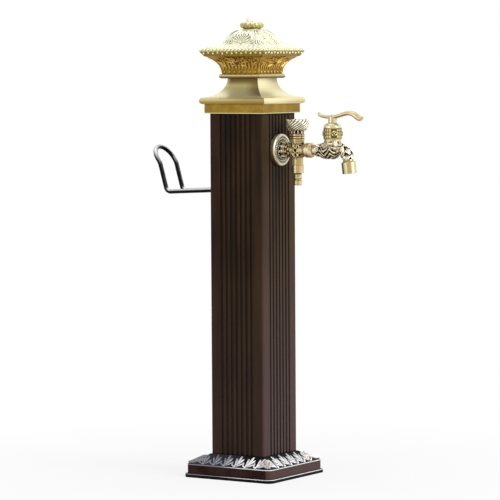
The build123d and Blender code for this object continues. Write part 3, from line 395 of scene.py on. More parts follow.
def bronze(name, bright, shade, darkest, reach=2.5, start=0.3, full=0.7, brush=(1, 1, 1), side_shade=0.0):
    """Polished pale bronze with painted shade underneath and painted reflection stripes, dark patina with
    painted shade in the recesses, where the share of hollow goes from start to full, and painted shade on
    the side towards the post."""
    finish = Finish(name)
    recess = finish.hollow(reach).ramp(start, full)
    cloud = finish.noise(70, 3)
    lines = finish.noise(900, 3, brush)
    # Painted shade underneath.
    under = (0.15 - finish.facing_up() + (cloud - 0.5) * 0.5).ramp(0.05, 0.95)
    body = finish.mix(under * 0.9, bright, shade)
    # Painted reflection stripes.
    body = finish.mix(finish.sheen(5.0).ramp(0.66, 0.98, 0.0, 0.55), body, shade)
    body = finish.mix(lines.ramp(0.55, 0.8, 0.0, 0.25), body, shade)
    # Painted shade on the side that faces back towards the post, standing for a dark reflection.
    body = finish.mix(finish.facing((-0.54, 0.84, 0)).ramp(0.55, 0.95) * side_shade, body, darkest)
    # Patina with painted shade in the recesses.
    colour = finish.mix(recess, body, darkest)
    rough = 0.24 + 0.4 * recess + 0.1 * lines
    return finish.done(colour, rough, lines * 0.7 + cloud * 0.3, 0.03, 0.85 - 0.5 * recess, 0.1)


def bronze_relief(name, bright, shade, darkest):
    """Carved bronze: bright crests and warm flanks with painted highlights on the crests and where it
    faces up, and black patina in the valleys and recesses.
    """
    finish = Finish(name)
    recess = finish.hollow(3.0).ramp(0.25, 0.6)
    worn_and_lit = finish.worn_and_lit()
    cloud = finish.noise(90, 3)
    fine = finish.noise(900, 3)
    # Painted highlight on the crests and where it faces up.
    light = (worn_and_lit * 0.9 + finish.facing_up() * 0.25 + (cloud - 0.5) * 0.6).ramp(0.3, 0.9)
    body = finish.mix(light, shade, bright)
    valley = worn_and_lit.ramp(0.56, 0.3)
    colour = finish.mix(valley, finish.mix(recess, body, darkest), darkest)
    rough = 0.26 + 0.4 * valley + 0.1 * fine
    return finish.done(colour, rough, fine, 0.04, 0.8 - 0.6 * valley, 0.1)


def rosette_bronze():
    """Pale rim and rings of the wall rosette, paler where they face up as painted light, with black patina
    in the grooves between them.
    """
    finish = Finish("rosette_bronze")
    spot = finish.vector("SUBTRACT", finish.place((1 / mm,) * 3), rosette_middle)
    radius = finish.vector("LENGTH", finish.vector("MULTIPLY", spot, (1, 0, 1)), result=1)
    outer = radius.ramp(19.8, 20.4) * radius.ramp(23.6, 23.1)
    middle = radius.ramp(16.5, 17.0) * radius.ramp(18.7, 18.3)
    inmost = radius.ramp(12.6, 13.1) * radius.ramp(15.4, 15.0)
    groove = outer + middle + inmost
    lines = finish.noise(900, 3)
    cloud = finish.noise(90, 3)
    # Painted light: paler where it faces up.
    light = (finish.facing_up() + cloud - 0.5).ramp(-0.9, 0.5)
    colour = finish.mix(groove, finish.mix(light, (138, 112, 74), (244, 238, 210)), (26, 17, 10))
    rough = 0.26 + 0.3 * groove + 0.1 * lines
    return finish.done(colour, rough, lines, 0.03, 0.85 - 0.7 * groove, 0.1)


def silver_relief(name, bright, shade, darkest):
    """Silver rubbed on the crests of carved work, over dark paint in the valleys, dulled towards the hook
    by painted shade.
    """
    finish = Finish(name)
    worn_and_lit = finish.worn_and_lit()
    cloud = finish.noise(60, 3)
    body = finish.mix((worn_and_lit + (cloud - 0.5) * 0.7).ramp(0.35, 0.8), shade, bright)
    # Painted shade: duller grey towards the hook.
    body = finish.mix(finish.behind().ramp(-20, 30) * 0.8, body, (96, 98, 106))
    valley = worn_and_lit.ramp(0.4, 0.2)
    colour = finish.mix(valley, body, darkest)
    return finish.done(colour, 0.4 + 0.1 * cloud, cloud, 0.05, 0.3 - 0.3 * valley)


def rubbed_silver():
    """Silver lines and palmettes of the base skirt, dulled to a grey towards the hook by painted shade."""
    finish = Finish("rubbed_silver")
    cloud = finish.noise(120, 3)
    bright = finish.mix(cloud.ramp(0.3, 0.7), (232, 232, 234), (254, 254, 254))
    # Painted shade: duller grey towards the hook.
    colour = finish.mix(finish.behind().ramp(-30, 25) * 0.85, bright, (104, 108, 120))
    return finish.done(colour, 0.4 + 0.15 * cloud, cloud, 0.03, 0.3)


def plain_metal(name, first, second, rough):
    """Turned or rolled metal with faint clouding."""
    finish = Finish(name)
    cloud = finish.noise(120, 3)
    fine = finish.noise(1440, 2)
    colour = finish.mix(cloud.ramp(0.3, 0.7), first, second)
    return finish.done(colour, rough + 0.15 * (fine - 0.5), fine, 0.02, 1.0)


def soft_matter(name, first, second, rough):
    """Rubber or ceramic."""
    finish = Finish(name)
    cloud = finish.noise(300, 3)
    colour = finish.mix(cloud.ramp(0.3, 0.7), first, second)
    return finish.done(colour, rough + 0.1 * cloud, cloud, 0.03)


def hook_coating():
    """Gloss black rod with a painted reflection of the pale room on its upper side."""
    finish = Finish("hook_coating")
    cloud = finish.noise(90, 3)
    fine = finish.noise(700, 2)
    # Painted reflection: white where the rod faces up.
    lit = (finish.facing_up() + 0.1 * (cloud - 0.5)).ramp(0.12, 0.62)
    colour = finish.mix(lit, (12, 11, 12), (222, 222, 224))
    return finish.done(colour, 0.2 + 0.14 * cloud, fine, 0.03, 0.6, 0.1)


bowl_relief = gilt_relief("bowl_relief", (82, 52, 8), (176, 136, 42), (240, 210, 116))
pearl_finish = gilt("pearl_gilding", (150, 128, 60), (224, 214, 150), (248, 244, 200), 1.0, 0.2)
lid_finish = gilt("lid_gilding", (116, 116, 68), (234, 232, 190), (250, 250, 230), 3.5, 0.2)
lid_relief = gilt_relief("lid_relief", (122, 122, 76), (238, 236, 196), (250, 250, 230))
silver_finish = rubbed_silver()
corner_silver = silver_relief("corner_silver", (236, 226, 220), (120, 100, 98), (20, 17, 18))
turned_bronze = bronze(
    "turned_bronze", (228, 210, 158), (128, 96, 46), (24, 15, 6), 6.0, 0.1, 0.34, side_shade=0.35
)
smooth_bronze = bronze("smooth_bronze", (236, 228, 190), (156, 116, 58), (52, 34, 14), 4.0, 0.2, 0.6)
carved_bronze = bronze_relief("carved_bronze", (228, 218, 186), (126, 94, 58), (26, 15, 8))
carved_gold = bronze_relief("carved_gold", (216, 200, 150), (130, 100, 52), (34, 22, 8))
carved_olive = bronze_relief("carved_olive", (204, 188, 136), (128, 102, 52), (34, 24, 8))
carved_pale = bronze_relief("carved_pale", (250, 247, 228), (184, 156, 110), (34, 22, 12))

by_slot = {
    "brown_paint": column_paint(),
    "skirt_finish": skirt_paint(),
    "gilt_casting": collar_gilding(),
    "aged_bronze": bronze(
        "bright_bronze", (228, 210, 158), (150, 114, 60), (38, 24, 10), 5.0, 0.15, 0.5
    ),
    "black_coating": hook_coating(),
    "zinc_steel": plain_metal("zinc_steel", (176, 178, 176), (206, 206, 200), 0.4),
    "plain_brass": plain_metal("plain_brass", (186, 150, 84), (206, 174, 108), 0.35),
    "copper_pipe": plain_metal("copper_pipe", (176, 96, 58), (198, 122, 82), 0.35),
    "black_rubber": soft_matter("black_rubber", (22, 22, 22), (40, 40, 40), 0.6),
    "white_ceramic": soft_matter("white_ceramic", (226, 226, 220), (240, 240, 236), 0.3),
    "strainer_steel": plain_metal("strainer_steel", (160, 162, 162), (190, 192, 190), 0.35),
}
by_node = {
    "cap_crown": bowl_gilding(),
    "cap_button": gilt("button_gilding", (112, 94, 30), (170, 152, 74), (238, 234, 192), 2.5),
    **dict.fromkeys(("cap_lid", "finial_knob"), lid_finish),
    "wall_rosette": rosette_bronze(),
    **dict.fromkeys(("hose_nut", "hose_nipple"), turned_bronze),
    "valve_body": bronze(
        "valve_bronze", (216, 195, 142), (134, 99, 49), (30, 18, 8), 6.0, 0.1, 0.42
    ),
    **dict.fromkeys(("union_nut", "link_pipe", "tap_lever"), smooth_bronze),
    "tap_bonnet": bronze(
        "pale_bronze", (244, 240, 210), (184, 156, 100), (54, 36, 16), 4.0, 0.2, 0.5
    ),
    "spout_nozzle": bronze(
        "nozzle_bronze", (222, 208, 162), (144, 118, 74), (50, 34, 18), brush=(1, 1, 0.04), side_shade=0.75
    ),
}


# Shapes for stamping


class Casting:
    """Ornament in the making. Shapes are stamped on it one after another, in millimetres."""

    def __init__(self, name):
        self.name = name
        self.bm = bmesh.new()
        self.bm.verts.layers.float.new("worn_and_lit")

    def added(self, shape):
        first = len(self.bm.verts)
        self.bm.from_mesh(shape)
        self.bm.verts.ensure_lookup_table()
        return self.bm.verts[first:], self.bm.verts.layers.float["worn_and_lit"]

    def stamp(self, shape, place, wear_and_light=None):
        """Adds a copy of the shape with every corner put through the place, a matrix or a function."""
        fresh, worn_and_lit = self.added(shape)
        levels = [vert.co.z for vert in fresh]
        low, high = min(levels), max(levels)
        for vert in fresh:
            vert[worn_and_lit] = (vert.co.z - low) / (high - low) if wear_and_light is None else wear_and_light
            vert.co = place(vert.co) if callable(place) else place @ vert.co

    def wrap(self, around, steps, surface):
        """Adds a skin. The surface gives the point and the crest value for rubbed silver and painted
        light, for the shares round it and along it.
        """
        sheet = bmesh.new()
        bmesh.ops.create_grid(sheet, x_segments=around, y_segments=steps, size=0.5)
        fresh, worn_and_lit = self.added(kept(sheet))
        for vert in fresh:
            vert.co, vert[worn_and_lit] = surface(vert.co.x + 0.5, vert.co.y + 0.5)

    def finish(self, finish, slot, body="column", stands_for=()):
        bmesh.ops.scale(self.bm, vec=(mm, mm, mm), verts=self.bm.verts)
        bmesh.ops.remove_doubles(self.bm, verts=self.bm.verts, dist=0.02 * mm)
        bmesh.ops.recalc_face_normals(self.bm, faces=self.bm.faces)
        mesh = bpy.data.meshes.new(self.name)
        self.bm.to_mesh(mesh)
        self.bm.free()
        mesh.polygons.foreach_set("use_smooth", [True] * len(mesh.polygons))
        mesh.set_sharp_from_angle(angle=radians(50))
        mesh.materials.append(finish)
        piece = placed(self.name, mesh)
        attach(piece, body)
        if stands_for:
            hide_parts(*stands_for)


def kept(bm):
    """Mesh of a finished shape, ready to be stamped."""
    bmesh.ops.recalc_face_normals(bm, faces=bm.faces)
    mesh = bpy.data.meshes.new("shape")
    bm.to_mesh(mesh)
    bm.free()
    return mesh


def add_ball(bm, radius, level=0.0):
    """Adds a ball over the origin."""
    place = Matrix.Translation((0, 0, level))
    bmesh.ops.create_icosphere(bm, subdivisions=2, radius=radius, matrix=place)


def leaf(length, width, lobes=3, cut=0.35, rise=1.6, thick=0.8, widest=0.42, foot=0.4):
    """Carved leaf from its foot at the origin up the y axis, with a midrib, side lobes and veins."""
    bm = bmesh.new()
    bmesh.ops.create_grid(bm, x_segments=8, y_segments=6 * lobes + 4, size=1)
    slant = log(0.5) / log(widest)
    for vert in bm.verts:
        across = vert.co.x
        share = (vert.co.y + 1) / 2
        swell = max(sin(pi * share**slant), 0) ** 0.7 * (1 - foot) + foot * (1 - share) ** 0.5
        wave = 0.5 + 0.5 * cos(2 * pi * lobes * (share - 0.06 * abs(across)))
        half = width / 2 * max(swell, 0.03) * (1 - cut * wave * abs(across))
        crown = 0.6 * (1 - across**2) * min(swell * 1.4, 1)
        midrib = 0.5 * exp(-((across / 0.17) ** 2)) * (1 - 0.6 * share)
        vein = 0.45 * abs(across) * wave
        reach = length * (share + 0.09 * abs(across) * sin(pi * share))
        vert.co = (across * half, reach, rise * (crown + midrib - vein))
    bmesh.ops.solidify(bm, geom=bm.faces[:], thickness=thick)
    return kept(bm)


def bar(points, radii, facets=2, smooth=3, closed=False):
    """Round bar with a radius at each point: bent smoothly and capped, or else a closed loop."""
    curve = bpy.data.curves.new("bar", "CURVE")
    curve.dimensions = "3D"
    curve.bevel_depth = 1.0
    curve.bevel_resolution = facets
    curve.use_fill_caps = True
    line = curve.splines.new("POLY" if closed else "NURBS")
    line.points.add(len(points) - 1)
    for point, place, radius in zip(line.points, points, radii):
        point.co = (*place, 1.0)
        point.radius = radius
    line.order_u = 3
    line.use_endpoint_u = True
    line.resolution_u = smooth
    line.use_cyclic_u = closed
    holder = bpy.data.objects.new("bar", curve)
    mesh = bpy.data.meshes.new_from_object(holder)
    bpy.data.objects.remove(holder)
    bpy.data.curves.remove(curve)
    bm = bmesh.new()
    bm.from_mesh(mesh)
    bpy.data.meshes.remove(mesh)
    bmesh.ops.remove_doubles(bm, verts=bm.verts, dist=0.001)
    return kept(bm)


def spindle(length, radius, bend=0.0):
    """Bar up the y axis from the origin that is thickest in the middle and may bow sideways."""
    shares = (0.0, 0.12, 0.35, 0.65, 0.88, 1.0)
    points = [(bend * sin(pi * share), length * share, 0) for share in shares]
    return bar(points, [radius * size for size in (0.15, 0.7, 1.0, 1.0, 0.7, 0.15)])


def volute(radius, turns, thick, hand=1):
    """Flat spiral scroll round the origin with an eye in its middle."""
    steps = int(10 * turns)
    points = []
    radii = []
    for step in range(steps + 1):
        share = step / steps
        reach = radius * (1 - 0.78 * share)
        turn = 2 * pi * turns * share
        points.append((hand * reach * cos(turn), reach * sin(turn), thick * 0.5 * share))
        radii.append(thick * (0.55 + 0.45 * (1 - share)) if step else thick * 0.3)
    scroll = bmesh.new()
    scroll.from_mesh(bar(points, radii, 2, 2))
    add_ball(scroll, radius * 0.26, thick * 0.5)
    return kept(scroll)


def flower(petals, radius, rise):
    """Open flower in the xy plane with notched petals and a raised eye."""
    bm = bmesh.new()
    petal = leaf(radius, 2.4 * radius * sin(pi / petals), 1, 0.1, rise, 0.6, 0.62, 0.25)
    for turn in turns(petals):
        bloom = bmesh.new()
        bloom.from_mesh(petal)
        bmesh.ops.transform(bloom, matrix=turn, verts=bloom.verts)
        bm.from_mesh(kept(bloom))
    add_ball(bm, radius * 0.22, rise * 0.5)
    return kept(bm)


def fan(rays, length, spread, radius):
    """Shell of rays that leave one point and widen to a scalloped edge."""
    bm = bmesh.new()
    for number in range(rays):
        angle = spread * (number / (rays - 1) - 0.5)
        reach = length * (1 - 0.18 * abs(angle) / (spread / 2))
        points = [(sin(angle) * reach * s, cos(angle) * reach * s, 0) for s in (0.12, 0.5, 0.85, 1.0)]
        bm.from_mesh(bar(points, [radius * size for size in (0.25, 0.7, 1.0, 0.45)]))
    add_ball(bm, radius * 1.15)
    return kept(bm)


def turned_ring(stops):
    """Closed ring turned about the z axis from stops of (radius, level)."""
    bm = bmesh.new()
    corners = [bm.verts.new((radius, 0, level)) for radius, level in stops]
    edges = [bm.edges.new((corner, corners[number - 1])) for number, corner in enumerate(corners)]
    around = {"cent": (0, 0, 0), "axis": (0, 0, 1), "angle": 2 * pi, "steps": 48, "use_merge": True}
    bmesh.ops.spin(bm, geom=edges + corners, **around)
    bmesh.ops.remove_doubles(bm, verts=bm.verts, dist=0.001)
    return kept(bm)


def rounded_square(half, corner, level, radius):
    """Bead that runs round a square with rounded corners."""
    points = []
    for turn, quarter in enumerate(quarters):
        centre = quarter @ Vector((half - corner, half - corner, level))
        for step in range(9):
            angle = turn * pi / 2 + step * pi / 16
            points.append(centre + corner * Vector((cos(angle), sin(angle), 0)))
    return bar(points, [radius] * len(points), 3, closed=True)


# Places for stamping


def sized(size, at=(0, 0, 0), turn=0.0):
    """Shape made larger or smaller, turned in its own plane and moved."""
    size = Vector(size) if hasattr(size, "__len__") else Vector((size, size, size))
    return Matrix.Translation(at) @ Matrix.Rotation(turn, 4, "Z") @ Matrix.Diagonal((*size, 1))


def along(points, side, length):
    """Place on a bent spine: the y axis of the shape follows the Bezier curve of the points."""
    points = [Vector(point) for point in points]
    side = Vector(side).normalized()

    def spot(share):
        run = points
        while len(run) > 1:
            run = [a.lerp(b, share) for a, b in zip(run, run[1:])]
        return run[0]

    def place(corner):
        share = corner.y / length
        ahead = (spot(share + 0.01) - spot(share - 0.01)).normalized()
        return spot(share) + side * corner.x + side.cross(ahead) * corner.z

    return place


def about(matrix, place):
    """The place carried round by the matrix afterwards."""
    return lambda corner: matrix @ place(corner)


class Ground:
    """Surface of a node, for ornament that is laid on it."""

    def __init__(self, name):
        bm = bmesh.new()
        bm.from_mesh(nodes[name].data)
        bmesh.ops.scale(bm, vec=(1 / mm, 1 / mm, 1 / mm), verts=bm.verts)
        self.tree = BVHTree.FromBMesh(bm)
        bm.free()

    def hit(self, start, way):
        """First point of the surface that a ray meets."""
        return self.tree.ray_cast(start, way)[0]

    def board(self, origin, rise, toward, matrix=Matrix()):
        """Place for a flat shape on a board that faces the eye: each corner drops on the surface."""
        face = Vector(toward).normalized()
        rise = (rise - face * rise.dot(face)).normalized()
        side = rise.cross(face)
        origin = Vector(origin)

        def place(corner):
            corner = matrix @ corner
            spot = origin + side * corner.x + rise * corner.y
            hit = self.hit(spot + face * ray_start, -face) or self.tree.find_nearest(spot)[0]
            return hit + face * corner.z

        return place

    def side(self, quarter, out, toward):
        """Maker of places on one side of the column, on boards that far out which face that way."""

        def at(x, level, turn=0.0, lift=0.3, slide=0.0, size=1.0):
            spot = quarter @ Vector((x, -out, level))
            return self.board(spot, up, quarter @ Vector(toward), sized(size, (0, slide, lift), turn))

        return at


def row(quarter, count, gap, out, level, zigzag=0.0):
    """Points in a row that is centred on one side of the column."""
    spots = [((n - (count - 1) / 2) * gap, -out, level + zigzag * (n % 2)) for n in range(count)]
    return [quarter @ Vector(spot) for spot in spots]


pearl_shape = bmesh.new()
add_ball(pearl_shape, 1)
pearl = kept(pearl_shape)


def beads(casting, spots, size):
    """Round or stretched beads."""
    for spot in spots:
        casting.stamp(pearl, sized(size, spot), 1.0)


# Cap: ornament of the bowl

crown_ground = Ground("cap_crown")
bowl_ornament = Casting("bowl_ornament")
brim_pearls = Casting("brim_pearls")
reeds = [spindle(16, 1.9), spindle(23, 2.1)]
boss = flower(6, 5.4, 2.0)
spray_leaf = leaf(19, 7.5, 4, 0.4, 2.4)
spray_small = leaf(13, 6.5, 3, 0.4, 2.2)
drop_leaf = leaf(8.5, 6.0, 1, 0.2, 2.0, 0.8, 0.4, 0.8)
sprays = (
    (3.5, 726, 0.35, spray_small),
    (5.0, 725, 0.85, spray_leaf),
    (5.5, 722, 1.35, spray_leaf),
    (4.5, 719, 1.95, spray_small),
    (27, 713, 0.9, spray_leaf),
    (31, 721, 1.3, spray_small),
)
mitre_levels = (704.5, 709, 714, 719, 724, 728, 731.5)
mitre_radii = (0.7, 1.0, 1.0, 1.0, 1.0, 1.0, 0.6)
for quarter in quarters:
    on_bowl = crown_ground.side(quarter, 44, (0, -0.82, -0.57))
    beads(brim_pearls, row(quarter, 13, 9.7, 64.4, 738.3, 1.0), 2.2)
    beads(bowl_ornament, row(quarter, 7, 10.6, bowl_half + 0.6, bowl_foot + 1.6), 1.7)
    beads(brim_pearls, row(quarter, 18, 7.4, 66.3, 743.6), (3.2, 1.5, 1.7))
    for number in range(11):
        x = (number - 5) * 6.6
        bowl_ornament.stamp(reeds[number % 2], on_bowl(x, 705.0, -x * 0.007))
    bowl_ornament.stamp(boss, on_bowl(0, 723, 0.3, 1.2))
    bowl_ornament.stamp(pearl, on_bowl(0, 722.5, lift=0.0, size=(3.6, 3.2, 5.2)), 0.0)
    for side in sides:
        for x, level, turn, shape in sprays:
            bowl_ornament.stamp(shape, on_bowl(side * x, level, -side * turn, 1.3))
    for number in range(13):
        bowl_ornament.stamp(drop_leaf, on_bowl((number - 6) * 8.6, 733.4, pi, 0.2))
    outside = quarter @ Vector((90, -90, 0))
    inside = quarter @ Vector((-1, 1, 0)).normalized()
    mitre = [crown_ground.hit(outside + up * level, inside) for level in mitre_levels]
    bowl_ornament.stamp(bar(mitre, mitre_radii), Matrix(), 0.9)
bowl_ornament.finish(bowl_relief, "gilt_casting")
brim_pearls.finish(pearl_finish, "gilt_casting")

# Cap: ornament of the lid and the button

lid_ground = Ground("cap_lid")
lid_ornament = Casting("lid_ornament")
brim_leaf = leaf(17.5, 9.6, 1, 0.2, 3.4, 1.0, 0.62, 0.45)
lid_fan = fan(9, 21, radians(150), 2.3)
lid_scrolls = {side: volute(4.6, 1.4, 1.5, side) for side in sides}
lid_leaf = leaf(15, 6.5, 3, 0.4, 2.4)
strand_radii = (1.0, 1.3, 1.7, 2.0, 1.9, 0.9)
groove_radii = (0.9, 1.3, 1.4, 1.0, 0.3)
hips = ((12, 778.6), (19.2, 776.6), (28.4, 769.0), (34.4, 757.2), (37.8, 752.9), (46, 750.9))


def hip_line(quarter, across, outs, lift=0.0):
    """Points of a line down a hip of the lid, from the outward push at each stop."""
    points = []
    for number, ((half, level), out) in enumerate(zip(hips, outs)):
        aside = across * (2.1 + 0.8 * number) + 1.2 * sin(number * 1.3)
        x, y = half + out - max(-aside, 0), -half - out + max(aside, 0)
        points.append(quarter @ Vector((x, y, level + out * 0.5 + lift)))
    return points


for quarter in quarters:
    on_dome = lid_ground.side(quarter, 35, (0, -0.8, 0.6))
    for number in range(12):
        x = (number - 5.5) * 10.1
        spot = quarter @ Vector((x * 0.86, -45.5, 750))
        outward, shoulder = quarter @ Vector((0, -1, 0)), quarter @ Vector((0, -0.35, 0.94))
        place = lid_ground.board(spot, outward, shoulder, sized(1, turn=x * 0.006))
        lid_ornament.stamp(brim_leaf, place)
    lid_ornament.stamp(lid_fan, on_dome(0, 755.5))
    for side in sides:
        lid_ornament.stamp(lid_scrolls[side], on_dome(side * 22.5, 757))
        for x, level, turn in ((23.5, 759, 0.55), (17.5, 766, 0.4), (9, 771.5, 0.15)):
            lid_ornament.stamp(lid_leaf, on_dome(side * x, level, side * turn))
    for strand in range(4):
        outs = [0.6 * cos(strand * 2.4 + number * 1.5) for number in range(len(hips))]
        line = hip_line(quarter, strand - 1.5, outs)
        lid_ornament.stamp(bar(line, strand_radii, 3, 5), Matrix(), 0.8)
    for groove in range(3):
        line = hip_line(quarter, groove - 1, [0.5] * len(groove_radii), 0.35)
        lid_ornament.stamp(bar(line, groove_radii, 2, 5), Matrix(), 0.0)
lid_ornament.finish(lid_relief, "gilt_casting")

button_ornament = Casting("button_ornament")
button_leaf = leaf(12, 6.0, 1, 0.15, 1.6, 1.0, 0.55, 0.5)
button_spine = [(0, -9.0, 790.6), (0, -13, 791.4), (0, -19.3, 790.4), (0, -20.4, 784.8)]
for turn in turns(16, pi / 16):
    button_ornament.stamp(button_leaf, about(turn, along(button_spine, (-1, 0, 0), 12)))
button_ornament.finish(lid_relief, "gilt_casting")

# Base: silver lines, palmettes and corner leaves on the black slope

skirt_ground = Ground("base_skirt")
skirt_ornament = Casting("skirt_ornament")
skirt_ornament.stamp(rounded_square(band_half - 0.3, 10, band_top, 0.85), Matrix(), 1.0)
skirt_ornament.stamp(rounded_square(foot_half - 0.6, 11.6, foot_top - 0.1, 0.75), Matrix(), 1.0)
palmette = fan(3, 29, radians(34), 2.35)
side_flames = {side: spindle(17, 1.7, side * 0.8) for side in sides}
slope_level = 24.2
for quarter in quarters:
    on_slope = skirt_ground.side(quarter, 83, (0, -0.52, 0.85))
    for number in range(6):
        x = (number - 2.5) * 21.6
        lean = -x * 0.0045
        skirt_ornament.stamp(palmette, on_slope(x, slope_level, lean, 0.2, 0.5))
        for side in sides:
            place = on_slope(x + side * 3.2, slope_level, lean - side * 0.62, 0.2, 1.0)
            skirt_ornament.stamp(side_flames[side], place)
skirt_ornament.finish(silver_finish, "skirt_finish")

corner_ornament = Casting("corner_ornament")
corner_leaf = leaf(32, 14, 4, 0.35, 3.2, 0.8, 0.74, 0.35)
for quarter in quarters:
    spot, inward = quarter @ Vector((82, -82, 23)), quarter @ Vector((-1, 1, 0))
    for turn, lift in ((0.3, 0.8), (-0.3, 0.8), (0, 1.8)):
        slope = quarter @ Vector((0.37, -0.37, 0.85))
        place = skirt_ground.board(spot, inward, slope, sized(1, (0, 0, lift), turn))
        corner_ornament.stamp(corner_leaf, place)
corner_ornament.finish(corner_silver, "skirt_finish")


# Tap arm: places and skins


def on_arm(out, across=0.0, above=0.0):
    """Point at a distance out from the post face, across and above the arm axis."""
    return Vector((across, -post_face - out, arm_level + above))


def round_arm(count, start=0.0):
    """Turns about the arm axis in even steps."""
    centre = Vector((0, 0, arm_level))
    before, after = Matrix.Translation(-centre), Matrix.Translation(centre)
    return [after @ turn @ before for turn in turns(count, start, "Y")]


def round_column(out, turn, reach, level):
    """Point round the upright axis of a valve that stands a distance out from the post face."""
    angle = 2 * pi * turn
    return Vector((reach * sin(angle), -post_face - out - reach * cos(angle), level))


def ridges(phase):
    """Rounded ridges side by side with sharp valleys between them."""
    return abs(sin(pi * phase)) ** 0.75


def clamp(value):
    return min(max(value, 0), 1)


def inner(share, edge):
    """Share of the way along a skin between its edges, which turn in to close it."""
    return clamp((share - edge) / (1 - 2 * edge))


def at_end(share):
    return share < 0.001 or share > 0.999


def round_the_arm(casting, ground, start, end, lift, relief, around, steps, most):
    """Carved skin over the turned part of the arm between two distances out from the post."""

    def surface(turn, share):
        out = start + (end - start) * inner(share, 0.04)
        centre = on_arm(out)
        if at_end(share):
            return centre, 0.0
        angle = 2 * pi * turn
        ray = Vector((sin(angle), 0, cos(angle)))
        hit = ground.hit(centre + ray * arm_ray_start, -ray)
        base = min((hit - centre).length if hit else most, most)
        fade = min(share * 12, (1 - share) * 12, 1)
        carved = relief(turn, out)
        return centre + ray * (base + fade * (lift * carved + 0.2)), carved

    casting.wrap(around, steps, surface)


# Tap arm: rosette

rosette_ornament = Casting("rosette_ornament")
rosette_leaf = leaf(13, 9, 3, 0.35, 1.8, 1.0, 0.5, 0.6)
rosette_spine = [on_arm(20, 0, 12.2), on_arm(17, 0, 13.8), on_arm(11.5, 0, 13.0), on_arm(9.6, 0, 15.4)]
for count, out, radius, size in ((44, 6.9, 21.75, 1.2), (30, 8.4, 15.6, 1.0)):
    beads(rosette_ornament, [turn @ on_arm(out, 0, radius) for turn in round_arm(count)], size)
for turn in round_arm(9, pi / 9):
    rosette_ornament.stamp(rosette_leaf, about(turn, along(rosette_spine, (1, 0, 0), 13)))
rosette_ornament.finish(carved_pale, "aged_bronze")

# Tap arm: relief of the hose valve body

valve_ground = Ground("valve_body")
valve_ornament = Casting("valve_ornament")


def knobs(turn, out):
    """Close-set buds in staggered rows."""
    buds = out / 4.6
    shift = 0.5 * (int(buds) % 2)
    return (ridges(9 * turn + shift) * ridges(buds)) ** 0.8


round_the_arm(valve_ornament, valve_ground, 18.5, 27.5, 1.6, knobs, 108, 30, 13.5)


def vine_band(turn, share):
    """Twisted vines round the column where the arm crosses it."""
    level = 10.5 * (2 * inner(share, 0.06) - 1)
    sway = 0.16 * sin(level * 0.9 + 4 * pi * turn)
    vines = max(ridges(9 * turn + level / 8.2 + sway), ridges(9 * turn - level / 8.2 - sway)) ** 5
    carved = 0.0 if at_end(share) else vines
    reach = 9.0 if at_end(share) else 11.5 + 1.7 * carved
    return round_column(hose_valve, turn, reach, arm_level + level), carved


valve_ornament.wrap(260, 40, vine_band)
valve_leaf = leaf(12, 6.5, 3, 0.4, 2.2)
for side in sides:
    for across, level, turn in ((-3.2, -15, 0.5), (3.2, -15, -0.5), (-3.2, 12.5, 2.7), (3.2, 12.5, -2.7)):
        spot = on_arm(hose_valve - across, side * 5, level)
        place = valve_ground.board(spot, up, (side, 0, 0), sized(0.7, (0, 0, 0.4), turn))
        valve_ornament.stamp(valve_leaf, place)
valve_ornament.finish(carved_gold, "aged_bronze")

# Hose valve handle: slotted cage under a crown of curled leaves


def at_hose_valve(level=0.0):
    return Matrix.Translation((0, -post_face - hose_valve, level))


handle = Casting("hose_handle_casting")
handle_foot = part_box("hose_valve_handle")[0].z / mm
cage_top = handle_foot + 6.1
for level, wear_and_light, stops in (
    (handle_foot, 0.7, [(4.1, 0), (11.5, 0), (11.9, 0.5), (11.5, 1.0), (9.0, 1.3), (4.1, 1.3)]),
    (handle_foot, 0.0, [(4.1, 0), (7.6, 0), (7.6, 6.0), (4.1, 6.0)]),
    (cage_top - 0.5, 0.1, [(4.1, 0), (11.0, 0), (12.0, 1.0), (12.6, 2.0), (10.5, 3.0), (4.1, 3.0)]),
):
    handle.stamp(turned_ring(stops), at_hose_valve(level), wear_and_light)
for turn in turns(10):
    place = at_hose_valve(handle_foot + 3.6) @ turn @ sized((1.2, 1.5, 4.0), (10.6, 0, 0))
    handle.stamp(pearl, place, 0.62)


def trace(stops, share):
    """Radius and level at a share of the way along a profile, from stops of (share, radius, level)."""
    for first, last in zip(stops, stops[1:]):
        if share <= last[0]:
            part = (share - first[0]) / (last[0] - first[0])
            return first[1] + (last[1] - first[1]) * part, first[2] + (last[2] - first[2]) * part
    return stops[-1][1:]


cup_profile = [
    (0.0, 3.0, -0.2), (0.06, 12.6, -0.2), (0.10, 13.8, 0.6), (0.24, 17.0, 4.0), (0.38, 19.0, 8.6),
    (0.5, 19.2, 13.0), (0.6, 18.2, 16.6), (0.66, 17.0, 18.2), (0.72, 15.0, 18.8), (0.78, 13.0, 18.4),
    (0.88, 8.6, 15.4), (0.94, 6.0, 15.0), (1.0, 2.5, 15.0),
]


def curled_cup(turn, share):
    """Deep cup of broad leaves whose ribs swirl upwards in an S and roll over the rim."""
    angle = 2 * pi * turn
    radius, rise = trace(cup_profile, share)
    climb = min(share / 0.72, 1)
    carved = ridges(18 * (turn - 0.23 * climb * climb * (3 - 2 * climb))) ** 1.1
    tip = 0.5 + 0.5 * cos(2 * pi * 5 * (turn - 0.34))
    skin = clamp((share - 0.06) * 14) * clamp((0.8 - share) * 14)
    radius += skin * (1.9 * carved - 0.5) + 2.2 * tip * exp(-(((share - 0.64) / 0.06) ** 2))
    rise += 1.6 * tip * exp(-(((share - 0.68) / 0.08) ** 2))
    spot = Vector((radius * cos(angle), radius * sin(angle), cage_top + rise))
    return at_hose_valve() @ spot, 0.9 * carved + 0.05


handle.wrap(216, 60, curled_cup)
handle.finish(carved_pale, "aged_bronze", "hose_handle", ("hose_valve_handle",))

# Tap body: wavy ridges round the belly and leaves round the column

